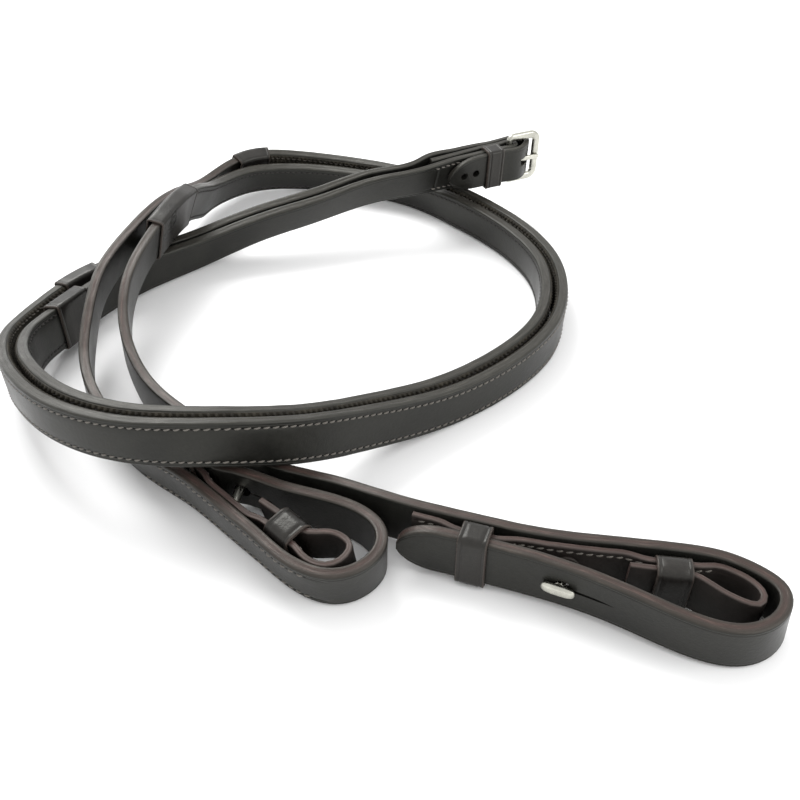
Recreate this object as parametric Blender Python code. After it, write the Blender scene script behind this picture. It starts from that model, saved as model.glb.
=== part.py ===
"""Leather reins laid down in a loose coil, standing on their edges.

Two rein halves run side by side from the buckle that joins them, with their lining sides facing each other.
After nearly one turn of the coil they part, and each ends in a hook stud billet that makes the loop for the bit.
Lengths are in millimetres until a mesh is made, +Z is up, and the origin is at the middle of the floor face
of the bounding box. The right-hand side of a path, seen along it from above, is called its outer side.
"""
import math

import bmesh
import bpy
import numpy as np
from mathutils import Matrix, Vector

MM = 0.001
GAP = 0.3                 # left between neighbouring pieces
FRAME_SHIFT = (4.62, -7.52, 0.13)    # from the routes' origin to the middle of the bounding box's floor face

# Straps
STRAP_WIDTH = 19.0
STRAP_THICK = 4.4
SKIVED_THICK = 2.8        # thinned leather of the buckle end
SKIVED_LENGTH = 125.0     # measured from each strap's buckle end
SKIVE_RAMP = 55.0
EDGE_BEVEL = 1.0
LONGEST_STEP = 20.0       # spacing of the cross-sections on a straight run
LARGEST_TURN = math.radians(10.0)
LARGEST_TWIST = math.radians(5.0)

# Rubber grip and the leather stops over its ends
GRIP_WIDTH = 18.0
GRIP_THICK = 1.1
STOP_LENGTH = 22.0
LONG_STOP_LENGTH = 38.0    # the right half's lower stop
STOP_WALL = 0.9
STOP_GAP = 0.45

# Bit end
INNER_WIDTH = 16.0
INNER_THICK = 2.4
KEEPER_WALL = 1.2
BILLET_KEEPER_LENGTH = 10.5
LOOP_KEEPER_LENGTH = 12.0
BILLET_KEEPER_REACH = 12.9
BILLET_POINT = 15.0       # length over which a billet narrows to its rounded tip
SLIT_LENGTH = 19.5
SLIT_WIDTH = 1.2
KEYHOLE_R = 3.2
KEYHOLE_SHIFT = 1.1      # of the keyhole from the stud towards the bit loop
STUD_SHANK_R = 1.8
STUD_HEAD = (5.9, 2.8, 2.4)    # half length, half height, depth of the oval head
STUD_PLATE = (4.2, 0.8)        # radius, thickness

# Buckle
BAR_POSITION = (76.0, 146.5, 31.8)
BUCKLE_DIRECTION = (50.0, 23.5, 0.0)
BUCKLE_TWIST = ((-57, -22), (-48, -20), (-36, -14), (-20, -6), (0, -3))    # distance from the bar, lean
BAR_R = 1.5
FRAME_WIRE = (2.1, 1.5)   # half width in the frame's plane, half thickness
FRAME_INNER_HEIGHT = 20.2
FRAME_REACH = 16.6        # bar axis to end bar axis
FRAME_CORNER_R = 3.6
SEWN_KEEPER_LENGTH = 9.6
SEWN_KEEPER_CENTRE = -12.5
TONGUE = (2.6, 1.8)       # width, thickness
PUNCH_R = 2.0
LAYER = 2.45              # middle of the buckle strap's two layers from the bar's plane
OUTER_LAYER = 5.7         # the same for the point strap that wraps them

# The two halves together, from the buckle on: x, y, lift of the lower edges above the floor, lean in degrees
# (positive tips the upper edge to the outer side), half the distance between the two straps' middles.
PAIR_ROUTE = [
    (25, 122.2, 21.5, -23, 2.9),
    (2, 117.0, 19.0, -26, 2.6),
    (-24, 108, 14, -28, 2.6),
    (-56, 97, 8, -26, 2.6),
    (-87, 83, 0.8, -18, 2.7),
    (-110, 64, 0.8, -9, 3.6),
    (-129, 41, 2, 1, 5.6),
    (-141, 12, 2.6, 8, 6.4),
    (-145, -12, 6, 9, 5.2),
    (-142, -28, 10, 4, 4.4),
    (-130, -52, 17, 3, 4.1),
    (-109, -76, 22.3, 2, 4.0),
    (-80, -89.5, 23.8, -3, 4.0),
    (-50, -92, 24.1, -6, 4.0),
    (-22, -82, 16.8, -6, 4.0),
    (4, -63, 7.5, -2, 4.0),
    (35, -41, 0.5, 4, 4.0),
    (63, -18, 0, 4, 4.0),
    (82, 9, 0, 3, 4.0),
    (89, 37, 0, 3, 4.1),
    (88, 67, 0, -1, 4.1),
    (74, 100, 0, -6, 4.0),
    (51, 130, 0, -7, 4.0),
    (26, 152, 0, -19, 4.0),
    (-4, 166, 0.3, -26, 4.1),
    (-37, 173, 1, -28, 4.6),
    (-68, 166, 3, -28, 5.2),
]
# Each half alone after that: x, y, lift, lean. The path goes round the bit loop and back along the billet.
LEFT_TAIL = [
    (-92.7, 134, 8, -26),
    (-99, 100, 18, -21),
    (-105, 70, 23.8, -18),
    (-112, 43, 23, -15),
    (-117.5, 19, 19, -11),
    (-118, -3, 12, -7),
    (-115.5, -24, 5, -2),
    (-107, -44, 1.5, 4),
    (-95, -62, 1.2, 8),
    (-80.5, -78.5, 1.2, 11),
    (-62.7, -92.8, 1.2, 11),
    (-46, -109, 1.2, 11),
    (-30, -125, 0.7, 12),
    (-17.5, -136.2, 0, 14),
    (-4, -140.7, 0, 14),
    (7.3, -134, 0, 9),
    (10.3, -122.5, 0, 0),
    (3.8, -112.2, 0, -7),
    (-9, -106, 1, -10),
    (-26, -100.5, 2, -11),
    (-43, -93.4, 2.6, -11),
]
RIGHT_TAIL = [
    (-77.6, 148, 5.2, -28),
    (-84.4, 131, 8.2, -26),
    (-86, 112, 14.5, -22),
    (-87.8, 98, 20.6, -20),
    (-90.2, 85, 24.4, -18),
    (-95, 67, 24.8, -16),
    (-101, 38, 23, -13),
    (-104, 14, 18, -7),
    (-102, -6, 11, -2),
    (-95, -24, 5, 2),
    (-84, -41, 1, 1),
    (-69, -57, 0, -2),
    (-52, -73, 0, -1),
    (-32, -88, 0, 0),
    (-8, -97.5, 0.5, 0),
    (16, -109.5, 2, 0),
    (40, -118, 2, 0),
    (64, -125.5, 2, 0),
    (87, -129.5, 2, 0),
    (108, -131.5, 1, 1),
    (124, -134.5, 0.6, 4),
    (136, -141, 0, 7),
    (141.5, -150, 0, 6),
    (137.5, -159, 0, 0),
    (124, -165, 0, -5),
    (108, -161, 1, -6),
    (91, -151.5, 2, -5),
    (76, -143, 2, -3),
]

# A level point near the middle of each bit loop
LOOP_MIDDLE = {"left": (10, -122), "right": (141.5, -150)}
# The rest of each billet: distance back along the body from the middle of the bit loop, distance from the body
BILLET_RUN = {
    "left": [(92, 10.6), (101, 10.2), (112, 10.1), (131, 10.4)],
    "right": [(91, 10.6), (101, 10.2), (112, 10.1), (131, 11.4)],
}

# Middle of the upper stop, middle of the lower stop, length of the lower stop
STOPS = {
    "left": ((-135, 42), (-69, 169), STOP_LENGTH),
    "right": ((-135, 18), (-94, 70), LONG_STOP_LENGTH),
}

# Distances back along each strap's body from the middle of its bit loop
BILLET_KEEPER_AT = 104.5
STUD_AT = {"left": 85.0, "right": 75.0}
LOOP_KEEPER_AT = {"left": 53.0, "right": 40.0}
INNER_START_AT = 128.0
INNER_LEAVES_AT = {"left": 31.0, "right": 20.0}
# The free part of the small inner loop: x, y
INNER_FREE = {
    "left": [(-0.9, -133), (0.5, -128.6), (-2.3, -124.9), (-7.0, -123.6)],
    "right": [(132.6, -145.5), (134, -150.5), (131.5, -154.3), (126, -152.8), (120.5, -148.6)],
}
# The run that comes back: distance from the small keeper's middle towards the loop, and from the body's middle
INNER_RETURN = {
    "left": [(7, 12.2), (0, 11.7), (-6, 11.5), (-16, 11.0)],
    "right": [(9, 10.8), (5, 9.7), (0, 9.3), (-6, 9.1), (-15, 9.0)],
}
LOOP_KEEPER_REACH = {"left": 14.2, "right": 12.0}
KEEPER_EASE = 0.5         # room behind a straight keeper on the curving body

LEATHER = ((0.030, 0.022, 0.019), 0.38, 0.0)
INNER_LEATHER = ((0.042, 0.030, 0.027), 0.5, 0.0)
RUBBER = ((0.035, 0.017, 0.014), 0.75, 0.0)
NICKEL = ((0.78, 0.77, 0.73), 0.28, 1.0)


# ---------------------------------------------------------------- paths

def unit(vector):
    return vector / np.linalg.norm(vector)


def angle_between(a, b):
    return math.acos(min(1.0, float(np.dot(a, b))))


def outer_normal(tangent):
    """The level direction to the right of a direction of travel."""
    return unit(np.array([tangent[1], -tangent[0], 0.0]))


def natural_spline(knots, values):
    """Natural cubic spline through rows of values; returns a function that gives value and slope."""
    n = len(knots)
    h = np.diff(knots)
    slope = np.diff(values, axis=0) / h[:, None]
    matrix = np.eye(n)
    right = np.zeros_like(values)
    for i in range(1, n - 1):
        matrix[i, i - 1:i + 2] = (h[i - 1], 2 * (h[i - 1] + h[i]), h[i])
        right[i] = 6 * (slope[i] - slope[i - 1])
    bend = np.linalg.solve(matrix, right)

    def at(s):
        i = int(np.clip(np.searchsorted(knots, s) - 1, 0, n - 2))
        a = knots[i + 1] - s
        b = s - knots[i]
        linear_a = values[i] / h[i] - bend[i] * h[i] / 6
        linear_b = values[i + 1] / h[i] - bend[i + 1] * h[i] / 6
        value = (bend[i] * a ** 3 + bend[i + 1] * b ** 3) / (6 * h[i]) + linear_a * a + linear_b * b
        rate = (bend[i + 1] * b ** 2 - bend[i] * a ** 2) / (2 * h[i]) - linear_a + linear_b
        return value, rate

    return at


class Path:
    """A smooth path through points, each with the direction of the strap's upper edge."""

    def __init__(self, points, ups):
        points = np.array(points, float)
        values = np.hstack([points, np.array(ups, float)])
        self.knots = np.concatenate([[0.0], np.cumsum(np.linalg.norm(np.diff(points, axis=0), axis=1))])
        self.length = self.knots[-1]
        self.spline = natural_spline(self.knots, values)

    def frame(self, s):
        """Point, direction of travel, outer side and up at a distance along the path."""
        value, rate = self.spline(s)
        tangent = unit(rate[:3])
        up = unit(value[3:] - tangent * np.dot(value[3:], tangent))
        return value[:3], tangent, np.cross(tangent, up), up

    def point(self, s, outward=0.0, upward=0.0):
        centre, _, out, up = self.frame(s)
        return centre + out * outward + up * upward

    def share_sections(self, marks):
        """Fixes the cross-sections used by everything that follows this path: closer together where it bends, and
        always one at each mark."""
        fine = np.linspace(0.0, self.length, int(self.length))
        frames = [self.frame(s) for s in fine]
        chosen = [0.0]
        spent = 0.0
        for i in range(1, len(fine)):
            turn = angle_between(frames[i][1], frames[i - 1][1])
            twist = abs(float(np.dot(frames[i][3], frames[i - 1][2])))
            spent += (fine[i] - fine[i - 1]) / LONGEST_STEP + turn / LARGEST_TURN + twist / LARGEST_TWIST
            if spent >= 1.0:
                chosen.append(float(fine[i]))
                spent = 0.0
        clear = [s for s in chosen if all(abs(s - mark) > 1.6 for mark in marks)]
        self.sections = sorted(clear + [mark for mark in marks if 0.0 < mark < self.length])

    def stations(self, start, end):
        inside = [s for s in self.sections if start + 0.8 < s < end - 0.8]
        return [start] + inside + [end]


def plan_tangents(points):
    """Level direction of travel at each point of a route."""
    flat = np.array([(p[0], p[1], 0.0) for p in points], float)
    return [unit(flat[min(i + 1, len(flat) - 1)] - flat[max(i - 1, 0)]) for i in range(len(flat))]


def leaning_up(tangent, lean):
    angle = math.radians(lean)
    return math.cos(angle) * np.array([0.0, 0.0, 1.0]) + math.sin(angle) * outer_normal(tangent)


def standing_height(lift, lean, half_thick):
    """Height of the middle of a strap whose lowest edge is lifted off the floor."""
    angle = math.radians(lean)
    return max(lift, 0.0) + STRAP_WIDTH / 2 * math.cos(angle) + half_thick * abs(math.sin(angle))


def buckle_axes(x):
    """Axes of the buckle end at a distance from the bar: towards the end bar, to the far side, and up the bar."""
    reach, leans = zip(*BUCKLE_TWIST)
    along = unit(np.array(BUCKLE_DIRECTION))
    up = leaning_up(-along, float(np.interp(x, reach, leans)))
    return along, np.cross(up, along), up


def buckle_point(x, y):
    along, out, _ = buckle_axes(x)
    return np.array(BAR_POSITION) + along * x + out * y


def buckle_matrix(x=0.0):
    along, out, up = buckle_axes(x)
    return frame_matrix(buckle_point(x, 0.0), along, out, up)


def fold_round_bar(radius, angles):
    return [(radius * math.cos(math.radians(a)), radius * math.sin(math.radians(a))) for a in angles]


def left_buckle_points():
    """The left strap's point end: from its tip, through the frame, round the fold and away from the buckle."""
    layer = OUTER_LAYER
    near = [(-39, -layer), (-29, -layer), (-20, -layer), (-13, -layer), (-8, -layer), (-4, -6.1), (0.5, -6.5)]
    fold = [(4.5, -5.6), (8.0, -3.1), (10.7, -0.3), (12.0, 2.6), (10.9, 5.4), (7.6, 6.9)]
    far = [(0.5, 6.7), (-4, 6.1), (-8, layer), (-13, layer)]
    return near + fold + far + [(-20, layer + 0.1), (-35, layer + 0.1), (-48, layer - 0.1)]


def right_buckle_points():
    """The right strap's turn: from its sewn-down end to the bar, round it and away from the buckle."""
    radius = BAR_R + 0.35 + SKIVED_THICK / 2
    end = LAYER - 0.65
    out = [(-48, end), (-36, end), (-26, LAYER - 0.3), (-18, LAYER - 0.05), (-12, LAYER), (-8, LAYER), (-4, 2.7)]
    fold = fold_round_bar(radius, range(90, -91, -30))
    back = [(x, -y) for x, y in reversed(out[1:])]
    return out + fold + back


def rein_path(side):
    """The whole centre line of one half's leather strap."""
    sign = 1 if side == "left" else -1
    tail = LEFT_TAIL if side == "left" else RIGHT_TAIL
    buckle = left_buckle_points() if side == "left" else right_buckle_points()
    points = [buckle_point(x, y) for x, y in buckle]
    ups = [buckle_axes(x)[2] for x, _ in buckle]
    tangents = plan_tangents(PAIR_ROUTE + [tail[0]])
    for (x, y, lift, lean, half), tangent in zip(PAIR_ROUTE, tangents):
        tip = leaning_up(tangent, lean)
        out = np.cross(tangent, tip)
        z = standing_height(lift, lean, half + STRAP_THICK / 2)
        points.append(np.array([x, y, z]) + out * half * sign)
        ups.append(tip)
    tangents = plan_tangents([PAIR_ROUTE[-1]] + tail)[1:]
    for (x, y, lift, lean), tangent in zip(tail, tangents):
        points.append(np.array([x, y, standing_height(lift, lean, STRAP_THICK / 2)]))
        ups.append(leaning_up(tangent, lean))
    body = Path(points, ups)
    loop_at = loop_middle(side, body)
    for distance, away in BILLET_RUN[side]:
        points.append(body.point(loop_at - distance, lining_side(side) * away))
        ups.append(body.frame(loop_at - distance)[3])
    return Path(points, ups)


def lining_side(side):
    """The lining faces the other half: inwards on the left half, outwards on the right."""
    return -1 if side == "left" else 1


def loop_middle(side, path):
    """Distance along the strap of the middle of its bit loop."""
    return nearest(path, LOOP_MIDDLE[side], path.length * 0.6)


def nearest(path, target, start=0.0, end=None):
    """Distance along a path of the place nearest to a level point."""
    samples = np.arange(start, end or path.length, 0.5)
    gaps = [np.hypot(*(path.frame(s)[0][:2] - np.array(target))) for s in samples]
    return float(samples[int(np.argmin(gaps))])


# ---------------------------------------------------------------- meshes

def material(name, look):
    colour, roughness, metallic = look
    made = bpy.data.materials.new(name)
    made.use_nodes = True
    shader = made.node_tree.nodes["Principled BSDF"]
    shader.inputs["Base Color"].default_value = (*colour, 1.0)
    shader.inputs["Roughness"].default_value = roughness
    shader.inputs["Metallic"].default_value = metallic
    return made


def add_object(name, mesh, look):
    mesh.materials.append(material(name, look))
    mesh.shade_smooth()
    mesh.set_sharp_from_angle(angle=math.radians(35))
    made = bpy.data.objects.new(name, mesh)
    bpy.context.collection.objects.link(made)
    return made


def split_quad(mesh, a, b, c, d):
    """Two triangles that meet along the line from the lower corner of one ring to the upper one of the next."""
    if a.co.z <= b.co.z:
        mesh.faces.new((a, b, c))
        mesh.faces.new((a, c, d))
    else:
        mesh.faces.new((a, b, d))
        mesh.faces.new((b, c, d))


def loft(rings, closed=False):
    """A closed body from equal rings of points; the ends are capped unless the rings run in a circle."""
    mesh = bmesh.new()
    rows = [[mesh.verts.new(Vector(p) * MM) for p in ring] for ring in rings]
    count = len(rows[0])
    last = len(rows) if closed else len(rows) - 1
    for i in range(last):
        a, b = rows[i], rows[(i + 1) % len(rows)]
        for j in range(count):
            k = (j + 1) % count
            split_quad(mesh, a[j], a[k], b[k], b[j])
    if not closed:
        mesh.faces.new(rows[0][::-1])
        mesh.faces.new(rows[-1])
    bmesh.ops.recalc_face_normals(mesh, faces=mesh.faces)
    made = bpy.data.meshes.new("body")
    mesh.to_mesh(made)
    mesh.free()
    return made


def bevelled_section(width, thick, bevel):
    """Corners of a strap's cross-section as (outward, upward) pairs."""
    w, t = width / 2, thick / 2
    b = min(bevel, 0.45 * w, 0.45 * t)
    return [(-t, -w + b), (-t + b, -w), (t - b, -w), (t, -w + b), (t, w - b), (t - b, w), (-t + b, w), (-t, w - b)]


def pointed_width(distance, full, point):
    """Width near a tip: a rounded point that reaches full width after the given length."""
    if distance >= point:
        return full
    return full * math.sqrt(max(0.03, 1.0 - (1.0 - distance / point) ** 2))


def tip_stations(start, end, tips):
    """Extra cross-sections near a rounded tip."""
    extra = []
    for fraction in (0.0, 0.06, 0.17, 0.33, 0.55, 0.8):
        if "start" in tips:
            extra.append(start + fraction * BILLET_POINT)
        if "end" in tips:
            extra.append(end - fraction * BILLET_POINT)
    return extra


def strap_rings(path, start, end, width, thick_at, tips=()):
    stations = path.stations(start, end)
    if "start" in tips:
        stations = [s for s in stations if s > start + BILLET_POINT]
    if "end" in tips:
        stations = [s for s in stations if s < end - BILLET_POINT]
    rings = []
    for s in sorted(stations + tip_stations(start, end, tips)):
        full = width
        if "start" in tips:
            full = pointed_width(s - start, full, BILLET_POINT)
        if "end" in tips:
            full = min(full, pointed_width(end - s, width, BILLET_POINT))
        section = bevelled_section(full, thick_at(s), EDGE_BEVEL)
        rings.append([path.point(s, out, up) for out, up in section])
    return rings


def strap_thickness(s):
    """The strap is skived thin at the buckle end."""
    ramp = min(1.0, max(0.0, (s - SKIVED_LENGTH) / SKIVE_RAMP))
    return SKIVED_THICK + (STRAP_THICK - SKIVED_THICK) * ramp


def frame_matrix(origin, axis_x, axis_y, axis_z):
    matrix = Matrix.Identity(4)
    for column, axis in enumerate((axis_x, axis_y, axis_z)):
        for row in range(3):
            matrix[row][column] = float(axis[row])
    for row in range(3):
        matrix[row][3] = float(origin[row]) * MM
    return matrix


def strap_frame(path, s, side=1):
    """Matrix whose x runs back along the strap, y to the chosen side and z across its width."""
    centre, tangent, out, up = path.frame(s)
    return frame_matrix(centre, -tangent, out * side, up * side)


def band_mesh(length, low, high, half_height, wall, corner=1.6):
    """A leather band: a rounded rectangular tube along x that spans y from low to high inside."""
    inner = rounded_rectangle(low, high, half_height, corner * 0.45)
    outer = rounded_rectangle(low - wall, high + wall, half_height + wall, corner)
    rings = []
    for x, outline in ((-0.5, inner), (-0.5, outer), (0.5, outer), (0.5, inner)):
        rings.append([(x * length, y, z) for y, z in outline])
    return loft(rings, closed=True)


def rounded_rectangle(low, high, half_height, radius, steps=2):
    """Points (y, z) round a rectangle with rounded corners."""
    corners = [(high - radius, half_height - radius, 0), (low + radius, half_height - radius, 90),
               (low + radius, -half_height + radius, 180), (high - radius, -half_height + radius, 270)]
    points = []
    for y, z, first in corners:
        for step in range(steps + 1):
            angle = math.radians(first + 90 * step / steps)
            points.append((y + radius * math.cos(angle), z + radius * math.sin(angle)))
    return points


def place(made, matrix):
    made.matrix_world = matrix
    return made


def cutter(name, mesh, matrix):
    made = bpy.data.objects.new(name, mesh)
    bpy.context.collection.objects.link(made)
    made.hide_render = True
    made.display_type = "WIRE"
    made.matrix_world = matrix
    return made


def cut(target, tool):
    boolean = target.modifiers.new(tool.name, "BOOLEAN")
    boolean.operation = "DIFFERENCE"
    boolean.solver = "EXACT"
    boolean.object = tool


def prism(points, low, high):
    """An outline of (x, z) points run along y."""
    return loft([[(x, low, z) for x, z in points], [(x, high, z) for x, z in points]])


def circle_points(radius, count, centre=0.0):
    return [(centre + radius * math.cos(2 * math.pi * i / count), radius * math.sin(2 * math.pi * i / count))
            for i in range(count)]


def keyhole_points():
    """Keyhole round the origin with the slit running towards +x."""
    half = SLIT_WIDTH / 2
    start = math.asin(half / KEYHOLE_R)
    arc = [start + (2 * math.pi - 2 * start) * i / 10 for i in range(11)]
    outline = [(KEYHOLE_SHIFT + KEYHOLE_R * math.cos(a), KEYHOLE_R * math.sin(a)) for a in arc]
    return outline + [(SLIT_LENGTH, -half), (SLIT_LENGTH, half)]


# ---------------------------------------------------------------- rein halves

def stop_places(side, path):
    """Distance along the strap and length of the upper and lower stop."""
    upper_at, lower_at, lower_length = STOPS[side]
    upper = nearest(path, upper_at, 150.0)
    lower = nearest(path, lower_at, upper + 200.0)
    return (upper, STOP_LENGTH), (lower, lower_length)


def inner_offset(side, loop_at):
    """Distance of the inner strap's middle from the body's, pushed out where a keeper's back wall lies under it."""
    close = STRAP_THICK / 2 + GAP + INNER_THICK / 2
    push_out = KEEPER_EASE + KEEPER_WALL + GAP
    centres = (loop_at - BILLET_KEEPER_AT, loop_at - LOOP_KEEPER_AT[side])
    halves = (BILLET_KEEPER_LENGTH / 2, LOOP_KEEPER_LENGTH / 2)

    def offset(s):
        near = 0.0
        for centre, half in zip(centres, halves):
            beyond = abs(s - centre) - half - 1.5
            near = max(near, 1.0 - max(0.0, beyond) / 9.0)
        return close + push_out * (3 * near ** 2 - 2 * near ** 3)

    return offset


def inner_loop_path(side, path, loop_at):
    """Centre line of the thin inner strap: along the body, round the small loop and back through its keeper."""
    sign = lining_side(side)
    offset = inner_offset(side, loop_at)
    points, ups = [], []
    start = loop_at - INNER_START_AT
    leave = loop_at - INNER_LEAVES_AT[side]
    for s in np.linspace(start, leave, 22):
        centre, _, out, up = path.frame(s)
        points.append(centre + out * (offset(s) + 0.15) * sign)
        ups.append(up)
    keeper_at = loop_at - LOOP_KEEPER_AT[side]
    back, back_up = [], path.frame(keeper_at)[3]
    for step, away in INNER_RETURN[side]:
        back.append(path.point(keeper_at + step, away * sign))
    free = INNER_FREE[side]
    for i, (x, y) in enumerate(free):
        blend = (i + 1) / (len(free) + 1)
        points.append(np.array([x, y, (1 - blend) * points[21][2] + blend * back[0][2]]))
        ups.append((1 - blend) * ups[21] + blend * back_up)
    inner = Path(points + back, ups + [back_up] * len(back))
    inner.share_sections([])
    return inner


def billet_frame(side, path, s):
    """Matrix on the billet with x pointing back to the bit loop and y away from the body."""
    return strap_frame(path, s, -lining_side(side))


def stud_station(side, path, loop_at):
    """Distance along the strap of the billet's keyhole, over the stud."""
    target = path.point(loop_at - STUD_AT[side], lining_side(side) * 11.0)
    return nearest(path, target[:2], loop_at + 20.0)


def make_strap(side, path, loop_at):
    tips = ("start", "end") if side == "left" else ("end",)
    rings = strap_rings(path, 0.0, path.length, STRAP_WIDTH, strap_thickness, tips)
    strap = add_object(side + "_rein_strap", loft(rings), LEATHER)
    matrix = billet_frame(side, path, stud_station(side, path, loop_at))
    cut(strap, cutter(side + "_keyhole", prism(keyhole_points(), -4.5, 4.5), matrix))
    return strap


def make_grip(side, path, start, end):
    middle = lining_side(side) * (STRAP_THICK / 2 + GAP + GRIP_THICK / 2)
    w, t = GRIP_WIDTH / 2, GRIP_THICK / 2
    rings = []
    for s in path.stations(start, end):
        rings.append([path.point(s, out + middle, up) for out, up in ((-t, -w), (t, -w), (t, w), (-t, w))])
    add_object(side + "_rubber_grip", loft(rings), RUBBER)


def make_stop(side, which, path, middle, length):
    """Leather stop round the strap and the end of the rubber."""
    grain = STRAP_THICK / 2 + STOP_GAP
    lining = STRAP_THICK / 2 + GAP + GRIP_THICK + STOP_GAP
    low, high = (-lining, grain) if side == "left" else (-grain, lining)
    half = STRAP_WIDTH / 2 + GAP
    inner = rounded_rectangle(low, high, half, 0.5)
    outer = rounded_rectangle(low - STOP_WALL, high + STOP_WALL, half + STOP_WALL, 1.6)
    stations = path.stations(middle - length / 2, middle + length / 2)
    rings = [[path.point(s, y, z) for y, z in outer] for s in stations]
    rings += [[path.point(s, y, z) for y, z in inner] for s in reversed(stations)]
    add_object(side + "_" + which + "_stop", loft(rings, closed=True), LEATHER)


def make_bit_end(side, path, loop_at):
    sign = lining_side(side)
    inner = inner_loop_path(side, path, loop_at)
    rings = strap_rings(inner, 0.0, inner.length, INNER_WIDTH, lambda s: INNER_THICK)
    add_object(side + "_inner_loop", loft(rings), INNER_LEATHER)
    back = STRAP_THICK / 2 + GAP + KEEPER_EASE + KEEPER_WALL
    around_billet = band_mesh(BILLET_KEEPER_LENGTH, back, BILLET_KEEPER_REACH, STRAP_WIDTH / 2 + 0.45, KEEPER_WALL)
    around_inner = band_mesh(LOOP_KEEPER_LENGTH, back, LOOP_KEEPER_REACH[side], INNER_WIDTH / 2 + 0.6, KEEPER_WALL)
    matrix = strap_frame(path, loop_at - BILLET_KEEPER_AT, sign)
    place(add_object(side + "_billet_keeper", around_billet, LEATHER), matrix)
    matrix = strap_frame(path, loop_at - LOOP_KEEPER_AT[side], sign)
    place(add_object(side + "_loop_keeper", around_inner, LEATHER), matrix)
    make_stud(side, path, loop_at)


def make_stud(side, path, loop_at):
    """Hook stud through the billet's keyhole, and the leather-covered plate that it is riveted to."""
    plate_radius, plate_thick = STUD_PLATE
    plate_at = STRAP_THICK / 2 + GAP + INNER_THICK + GAP + 0.15
    matrix = billet_frame(side, path, stud_station(side, path, loop_at))
    head_side = matrix.to_3x3() @ Vector((0, 1, 0))
    through = matrix.translation / MM
    body_at = loop_at - STUD_AT[side]
    facing = strap_frame(path, body_at, lining_side(side))
    lining = facing.to_3x3() @ Vector((0, 1, 0))
    face = facing.translation / MM + lining * (plate_at + plate_thick)
    foot = 1.2 - (through - face).dot(lining) / head_side.dot(lining)
    plate_middle = nearest(path, (through + head_side * foot)[:2], body_at - 20.0, body_at + 20.0)
    plate = prism(circle_points(plate_radius, 16), plate_at, plate_at + plate_thick)
    plate_body = add_object(side + "_stud_plate", plate, INNER_LEATHER)
    place(plate_body, strap_frame(path, plate_middle, lining_side(side)))
    neck = STRAP_THICK / 2 + 0.5
    half_long, half_high, depth = STUD_HEAD
    profile = [(STUD_SHANK_R, STUD_SHANK_R, foot), (STUD_SHANK_R, STUD_SHANK_R, neck)]
    for wide, deep in ((0.86, 0.0), (1.0, 0.35), (0.72, 0.8), (0.3, 1.0)):
        profile.append((half_long * wide, half_high * wide, neck + depth * deep))
    rings = []
    for a, b, y in profile:
        rings.append([(a * math.cos(t), y, b * math.sin(t)) for t in np.linspace(0, 2 * math.pi, 17)[:-1]])
    place(add_object(side + "_hook_stud", loft(rings), NICKEL), matrix)


# ---------------------------------------------------------------- buckle

def wire_section(centre, direction, half_width, half_thick, count=8):
    """An oval section of the frame, square to a direction in the frame's plane."""
    side = Vector((direction[1], 0, -direction[0]))
    points = []
    for i in range(count):
        angle = 2 * math.pi * (i + 0.5) / count
        points.append(Vector((centre[0], 0, centre[1])) + side * half_width * math.cos(angle)
                      + Vector((0, 1, 0)) * half_thick * math.sin(angle))
    return points


def frame_rings():
    """Sections of the frame, corner by corner; it is round where the strap turns on it and flatter elsewhere."""
    wide, thick = FRAME_WIRE
    half = FRAME_INNER_HEIGHT / 2 + wide
    r = FRAME_CORNER_R
    corners = [(FRAME_REACH - r, half - r, r, 90, wide), (1.8, half - 1.8, 1.8, 180, BAR_R),
               (1.8, -half + 1.8, 1.8, 270, BAR_R), (FRAME_REACH - r, -half + r, r, 360, wide)]
    rings = []
    for index, (x, z, radius, last, half_width) in enumerate(corners):
        for step in range(5):
            angle = math.radians(last - 90 + 22.5 * step)
            point = (x + radius * math.cos(angle), z + radius * math.sin(angle))
            blend = step / 4 if index == 1 else 1 - step / 4
            wire = wide + (BAR_R - wide) * blend if half_width == BAR_R else wide
            rings.append(wire_section(point, (-math.sin(angle), math.cos(angle)), wire, thick))
    return rings


def make_buckle():
    matrix = buckle_matrix()
    place(add_object("buckle_frame", loft(frame_rings(), closed=True), NICKEL), matrix)
    make_tongue(matrix)
    low = -OUTER_LAYER - SKIVED_THICK / 2 - 0.35
    high = -KEEPER_WALL / 2
    mesh = band_mesh(SEWN_KEEPER_LENGTH, low, high, STRAP_WIDTH / 2 + 0.4, KEEPER_WALL)
    place(add_object("buckle_keeper", mesh, LEATHER), buckle_matrix(SEWN_KEEPER_CENTRE))


def make_tongue(matrix):
    """Flat tongue that hooks round the bar and lies on the end bar."""
    width, thick = TONGUE
    radius = BAR_R + 0.25 + thick / 2
    centre = [(radius * math.cos(math.radians(a)), radius * math.sin(math.radians(a))) for a in range(20, 271, 25)]
    centre += [(5.0, -radius - 0.05), (11.0, -radius - 0.05), (FRAME_REACH + 1.0, -radius - 0.05)]
    rings = []
    for i, (x, y) in enumerate(centre):
        before, after = centre[max(i - 1, 0)], centre[min(i + 1, len(centre) - 1)]
        along = unit(np.array([after[0] - before[0], after[1] - before[1]]))
        side = np.array([along[1], -along[0]]) * thick / 2
        w = width / 2
        rings.append([(x - side[0], y - side[1], -w), (x + side[0], y + side[1], -w),
                      (x + side[0], y + side[1], w), (x - side[0], y - side[1], w)])
    place(add_object("buckle_tongue", loft(rings), NICKEL), matrix)


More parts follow.
